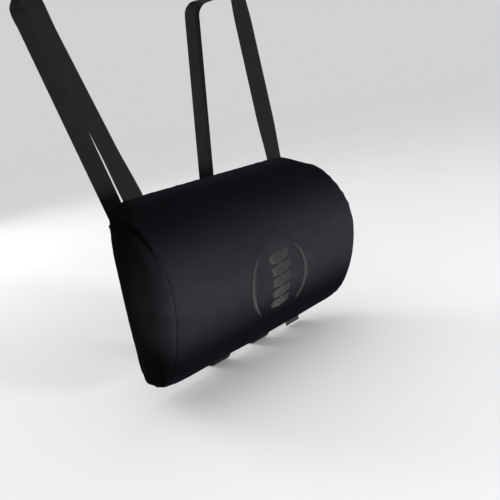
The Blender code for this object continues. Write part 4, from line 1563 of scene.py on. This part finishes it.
@dataclass
class StrapLoop:
    """One loop: upper strap, its doubled end, and the elastic strap below the buckle."""

    looks: Wardrobe
    side: Side
    up_edge: float
    down_edge: float
    tail: float = 0.012
    tail_y: float = -0.0034
    seam_x: float = 0.127
    lean: Pair = (0.165, 0.229)  # outwards and backwards for each metre up
    twist: float = math.radians(12)
    front_run: float = 0.245
    rear_top: Place = (0.140, 0.125, 0.345)
    rear_bottom: Place = (0.040, 0.088, -0.147)
    edge_radius: float = 0.018
    seam_radius: float = 0.012
    buckle_down: float = 0.366
    glide_up: float = 0.069
    turn: float = 0.0031  # radius round the buckle's bars
    glide_turn: float = 0.0026
    glide_bar: float = -0.0045
    plug_bar: float = 0.0155
    socket_bar: float = -0.0375
    strap_end: float = 0.006
    box: float = 0.010  # height of a box of stitches
    stitch: float = 0.0028
    stitch_radius: float = 0.00026
    stitch_lift: float = 0.0001

    def build(self) -> None:
        """Builds the three straps and their stitching."""
        top, bottom = self._mirrored(self.rear_top), self._mirrored(self.rear_bottom)
        up = (top - bottom).normalized()
        across = (Vector((1, 0, 0)) - up * up.x).normalized()
        turn = Matrix((across, up.cross(across), up)).transposed().to_4x4()
        self.frame = Matrix.Translation(top - up * self.buckle_down) @ turn
        self.top, self.bottom = top, bottom
        self._upper()
        self._return()
        self._lower()

    def _mirrored(self, place: tuple[float, float, float]) -> Vector:
        """A place given for the right loop, on this loop's own side."""
        return Vector((self.side.value * place[0], place[1], place[2]))

    def _square(self, point: Vector) -> Vector:
        """Width direction at the buckle, and along X below it."""
        level = (self.frame.inverted() @ point).z
        share = smooth((level + 0.072) / 0.012)
        return Vector((1, 0, 0)).lerp(self.frame.col[0].to_3d(), share)

    def _twisted(self, point: Vector) -> Vector:
        """Width direction along the upper strap, turned towards the middle on the long run."""
        if point.y > self.bottom.y and point.z < self.up_edge:
            return self._square(point)
        rise = (point.z - self.up_edge) / 0.060
        fall = (self.up_edge + self.front_run - point.z) / 0.050
        behind = (0.085 - point.y) / 0.020
        angle = self.twist * smooth(min(rise, fall, behind))
        return Vector((math.cos(angle), -self.side.value * math.sin(angle), 0))

    def _upper(self) -> None:
        """From the top seam, up the backrest and over, then down to the plug's bar."""
        root = Vector((self.side.value * self.seam_x, self.tail_y, self.up_edge))
        lean = Vector((self.side.value * self.lean[0], self.lean[1], 1.0))
        local = (
            (0, 0, self.plug_bar - self.turn),
            (0, -2 * self.turn, self.plug_bar - self.turn),
            (0, -2 * self.turn, self.plug_bar + self.strap_end),
        )
        steps = 8
        front = [root + lean * (self.front_run * i / steps) for i in range(1, steps + 1)]
        corners = [root - Vector((0, 0, self.tail)), root, *front, self.top]
        corners += [self.frame @ Vector(p) for p in local]
        radii = [self.seam_radius, *[0] * (steps - 1)]
        radii += [self.edge_radius, self.edge_radius, self.turn, self.turn]
        name = f"{self.side.word}_upper_strap"
        ribbon = Ribbon(rounded_path(corners, radii), self._twisted)
        seat(ribbon.build(name, self.looks.webbing), "cushion", "webbing", name)

    def _return(self) -> None:
        """The leg doubled back from the plug's bar, sewn round the tri-glide's middle bar."""
        inner, outer = self.glide_bar - self.glide_turn, self.glide_bar + self.glide_turn
        beside = outer - WEBBING_THICKNESS - GAP
        level = self.glide_up
        local = (
            (0, -2 * self.turn, self.plug_bar + self.strap_end + GAP),
            (0, beside, level - 0.020),
            (0, beside, level - 0.0105),
            (0, inner, level - 0.003),
            (0, inner, level + self.glide_turn),
            (0, outer, level + self.glide_turn),
            (0, outer, level - 0.017),
        )
        radii = [0.003, 0.002, 0.002, self.glide_turn, self.glide_turn]
        name = f"{self.side.word}_strap_return"
        points = rounded_path([self.frame @ Vector(p) for p in local], radii, 0.003)
        piece = Ribbon(points, self._square).build(name, self.looks.webbing)
        body = f"{self.side.word}_tri_glide"
        self._bend(piece, body, name)
        box = self._cross_box(level - 0.0155, beside)
        seat(self._sewn(f"{self.side.word}_return_stitches", box), body, "webbing")

    def _lower(self) -> None:
        """The elastic strap: sewn round the socket's bar, then under the backrest to the seam."""
        near = -WEBBING_THICKNESS - GAP
        bar = self.socket_bar
        local = (
            (0, near, bar - 0.020),
            (0, near, bar - 0.0105),
            (0, -2 * self.turn, bar - 0.003),
            (0, -2 * self.turn, bar + self.turn),
            (0, 0, bar + self.turn),
        )
        end = Vector((self.bottom.x, self.tail_y, self.bottom.z))
        corners = [self.frame @ Vector(p) for p in local]
        corners += [self.bottom, end, Vector((end.x, end.y, -self.down_edge + self.tail))]
        radii = [0.002, 0.002, self.turn, self.turn, self.edge_radius, self.seam_radius]
        name = f"{self.side.word}_lower_strap"
        piece = Ribbon(rounded_path(corners, radii, 0.0035), self._square).build(name, self.looks.elastic)
        body = f"{self.side.word}_buckle_socket"
        self._bend(piece, body, name)
        box = self._cross_box(bar - 0.0185, near)
        seat(self._sewn(f"{self.side.word}_loop_stitches", box), body, "elastic")

    def _bend(
        self, piece: bpy.types.Object, body: str, node: str
    ) -> None:
        """Applies a strap's modifiers and transform to its mesh, hides the node that it stands for and logs
        the body at its other end.

        Args:
            piece: The strap.
            body: The moving body.
            node: The node that it stands for.
        """
        bake_modifiers(piece)
        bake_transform(piece)
        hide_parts(node)
        LOG.info("%s: %d faces between cushion and %s", piece.name, len(piece.data.polygons), body)

    def _cross_box(self, low: float, middle: float) -> Iterable[tuple[Vector, Vector]]:
        """The stitches of a box with a cross in it, on the strap.

        Args:
            low: The box's lower edge, up the strap.
            middle: The middle of the webbing's thickness, in the buckle's frame.

        Returns:
            Start and end of each stitch.
        """
        depth = middle - WEBBING_THICKNESS / 2 - self.stitch_lift
        high = low + self.box
        wide = WEBBING / 2 - 0.0035
        a, b, c, d = ((-wide, low), (wide, low), (wide, high), (-wide, high))
        for start, end in ((a, b), (b, c), (c, d), (d, a), (a, c), (b, d)):
            p, q = (self.frame @ Vector((x, depth, z)) for x, z in (start, end))
            count = max(1, round((q - p).length / self.stitch))
            for i in range(count):
                yield p.lerp(q, (i + 0.08) / count), p.lerp(q, (i + 0.86) / count)

    def _sewn(self, name: str, stitches: Iterable[tuple[Vector, Vector]]) -> bpy.types.Object:
        """Makes one piece of many stitches."""
        bm = bmesh.new()
        shape = bead(6, 4)
        for start, end in stitches:
            add_stitch(bm, shape, start, end, self.stitch_radius)
        return to_object(name, bm, self.looks.thread)


# ------------------------------------------------------------------ the studio


@dataclass(frozen=True)
class Lamp:
    """A square lamp that looks at a point."""

    name: str
    place: Place
    target: Place
    size: float
    power: float

    def hang(self) -> None:
        """Adds the lamp to the scene."""
        data = bpy.data.lights.new(self.name, "AREA")
        data.shape = "SQUARE"
        data.size = self.size
        data.energy = self.power
        lamp = bpy.data.objects.new(self.name, data)
        lamp.location = self.place
        aim = Vector(self.target) - Vector(self.place)
        lamp.rotation_mode = "QUATERNION"
        lamp.rotation_quaternion = aim.to_track_quat("-Z", "Y")
        bpy.context.scene.collection.objects.link(lamp)


@dataclass
class Studio:
    """Floor, lights and camera."""

    floor_level: float
    place: Vector = field(default_factory=lambda: Vector((-0.54801, -0.62249, 0.19053)))
    heading: float = 43.833  # from +Y towards +X
    pitch: float = -13.258
    roll: float = -10.327
    lens: float = 45.02
    backdrop: float = 0.656  # the sky's strength where the camera sees it, as bright as the far floor
    ambient: float = 0.80  # and as a light
    floor_size: float = 12.0
    lamps: tuple[Lamp, ...] = (
        Lamp("key", (0.30, -2.3, 0.10), (0.0, -0.05, -0.03), 0.38, 108.0),
        Lamp("back", (-0.3, 2.0, 0.9), (0.0, 0.0, 0.05), 1.0, 16.0),
    )

    def build(self) -> None:
        """Builds the studio."""
        self._camera()
        self._floor()
        self._lights()

    def _camera(self) -> None:
        """A camera that looks down at the cushion from its front left."""
        data = bpy.data.cameras.new("camera")
        data.lens = self.lens
        data.sensor_width = 36.0
        data.clip_start, data.clip_end = 0.01, 100.0
        camera = bpy.data.objects.new("camera", data)
        bpy.context.scene.collection.objects.link(camera)
        a, e = math.radians(self.heading), math.radians(self.pitch)
        forward = Vector((math.sin(a) * math.cos(e), math.cos(a) * math.cos(e), math.sin(e)))
        camera.location = self.place
        camera.rotation_mode = "QUATERNION"
        level = forward.to_track_quat("-Z", "Y")
        camera.rotation_quaternion = level @ Quaternion((0, 0, 1), math.radians(self.roll))
        bpy.context.scene.camera = camera

    def _floor(self) -> None:
        """A wide pale floor."""
        bm = bmesh.new()
        bmesh.ops.create_grid(bm, x_segments=8, y_segments=8, size=self.floor_size)
        bmesh.ops.translate(bm, verts=bm.verts, vec=(0, 0, self.floor_level))
        floor = to_object("floor", bm, PaintedFloor().material())

    def _lights(self) -> None:
        """A broad level key from the front, a softer lamp behind and an even pale sky."""
        scene = bpy.context.scene
        world = bpy.data.worlds.new("sky")
        world.use_nodes = True
        tree = world.node_tree
        sky = tree.nodes["Background"]
        sky.inputs["Color"].default_value = (0.97, 0.98, 1.0, 1.0)
        rays = tree.nodes.new("ShaderNodeLightPath")
        seen = Signal(tree, rays.outputs["Is Camera Ray"])
        strength = seen * (self.backdrop - self.ambient) + self.ambient
        tree.links.new(strength.socket, sky.inputs["Strength"])
        scene.world = world
        scene.view_settings.view_transform = "Standard"
        for lamp in self.lamps:
            lamp.hang()


def dress_nodes(looks: Wardrobe) -> None:
    """Gives every node that is still shown its own procedural finish."""
    plastic = (looks.plastic, "buckle_plastic")
    finishes = {
        "buckle_plug": plastic,
        "buckle_socket": plastic,
        "latch_arm": plastic,
        "tri_glide": plastic,
        "care_label": (looks.label, "label_satin"),
    }
    for name, node in frame["nodes"].items():
        if node.hide_render:
            continue
        look, slot = next(v for k, v in finishes.items() if k in name)
        node.data.materials.clear()
        node.data.materials.append(look)


def main() -> None:
    """Builds the studio, then the cushion from the inside out."""
    logging.basicConfig(level=logging.INFO, format="%(message)s")
    looks = Wardrobe()
    front_low, front_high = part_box("front_panel")
    seam = -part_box("left_end_panel")[1].x + COVER
    zip_low, zip_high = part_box("zip_bottom_stop")
    level = (zip_low.z + zip_high.z) / 2
    Studio(CAD_BOX[0].z - FLOOR_GAP).build()
    outline = Outline(-front_low.y, front_high.z, -front_low.z)
    cover = Cover(looks, outline, seam, level)
    cover.build()
    Filling(looks, cover).build()
    Emblem(looks, Drape(outline, cover.skin)).build()
    ZipFastener(looks, level).build()
    for side in Side:
        StrapLoop(looks, side, front_high.z, -front_low.z).build()
    dress_nodes(looks)
    bpy.data.objects.remove(cover.form)


if __name__ == "__main__":
    main()
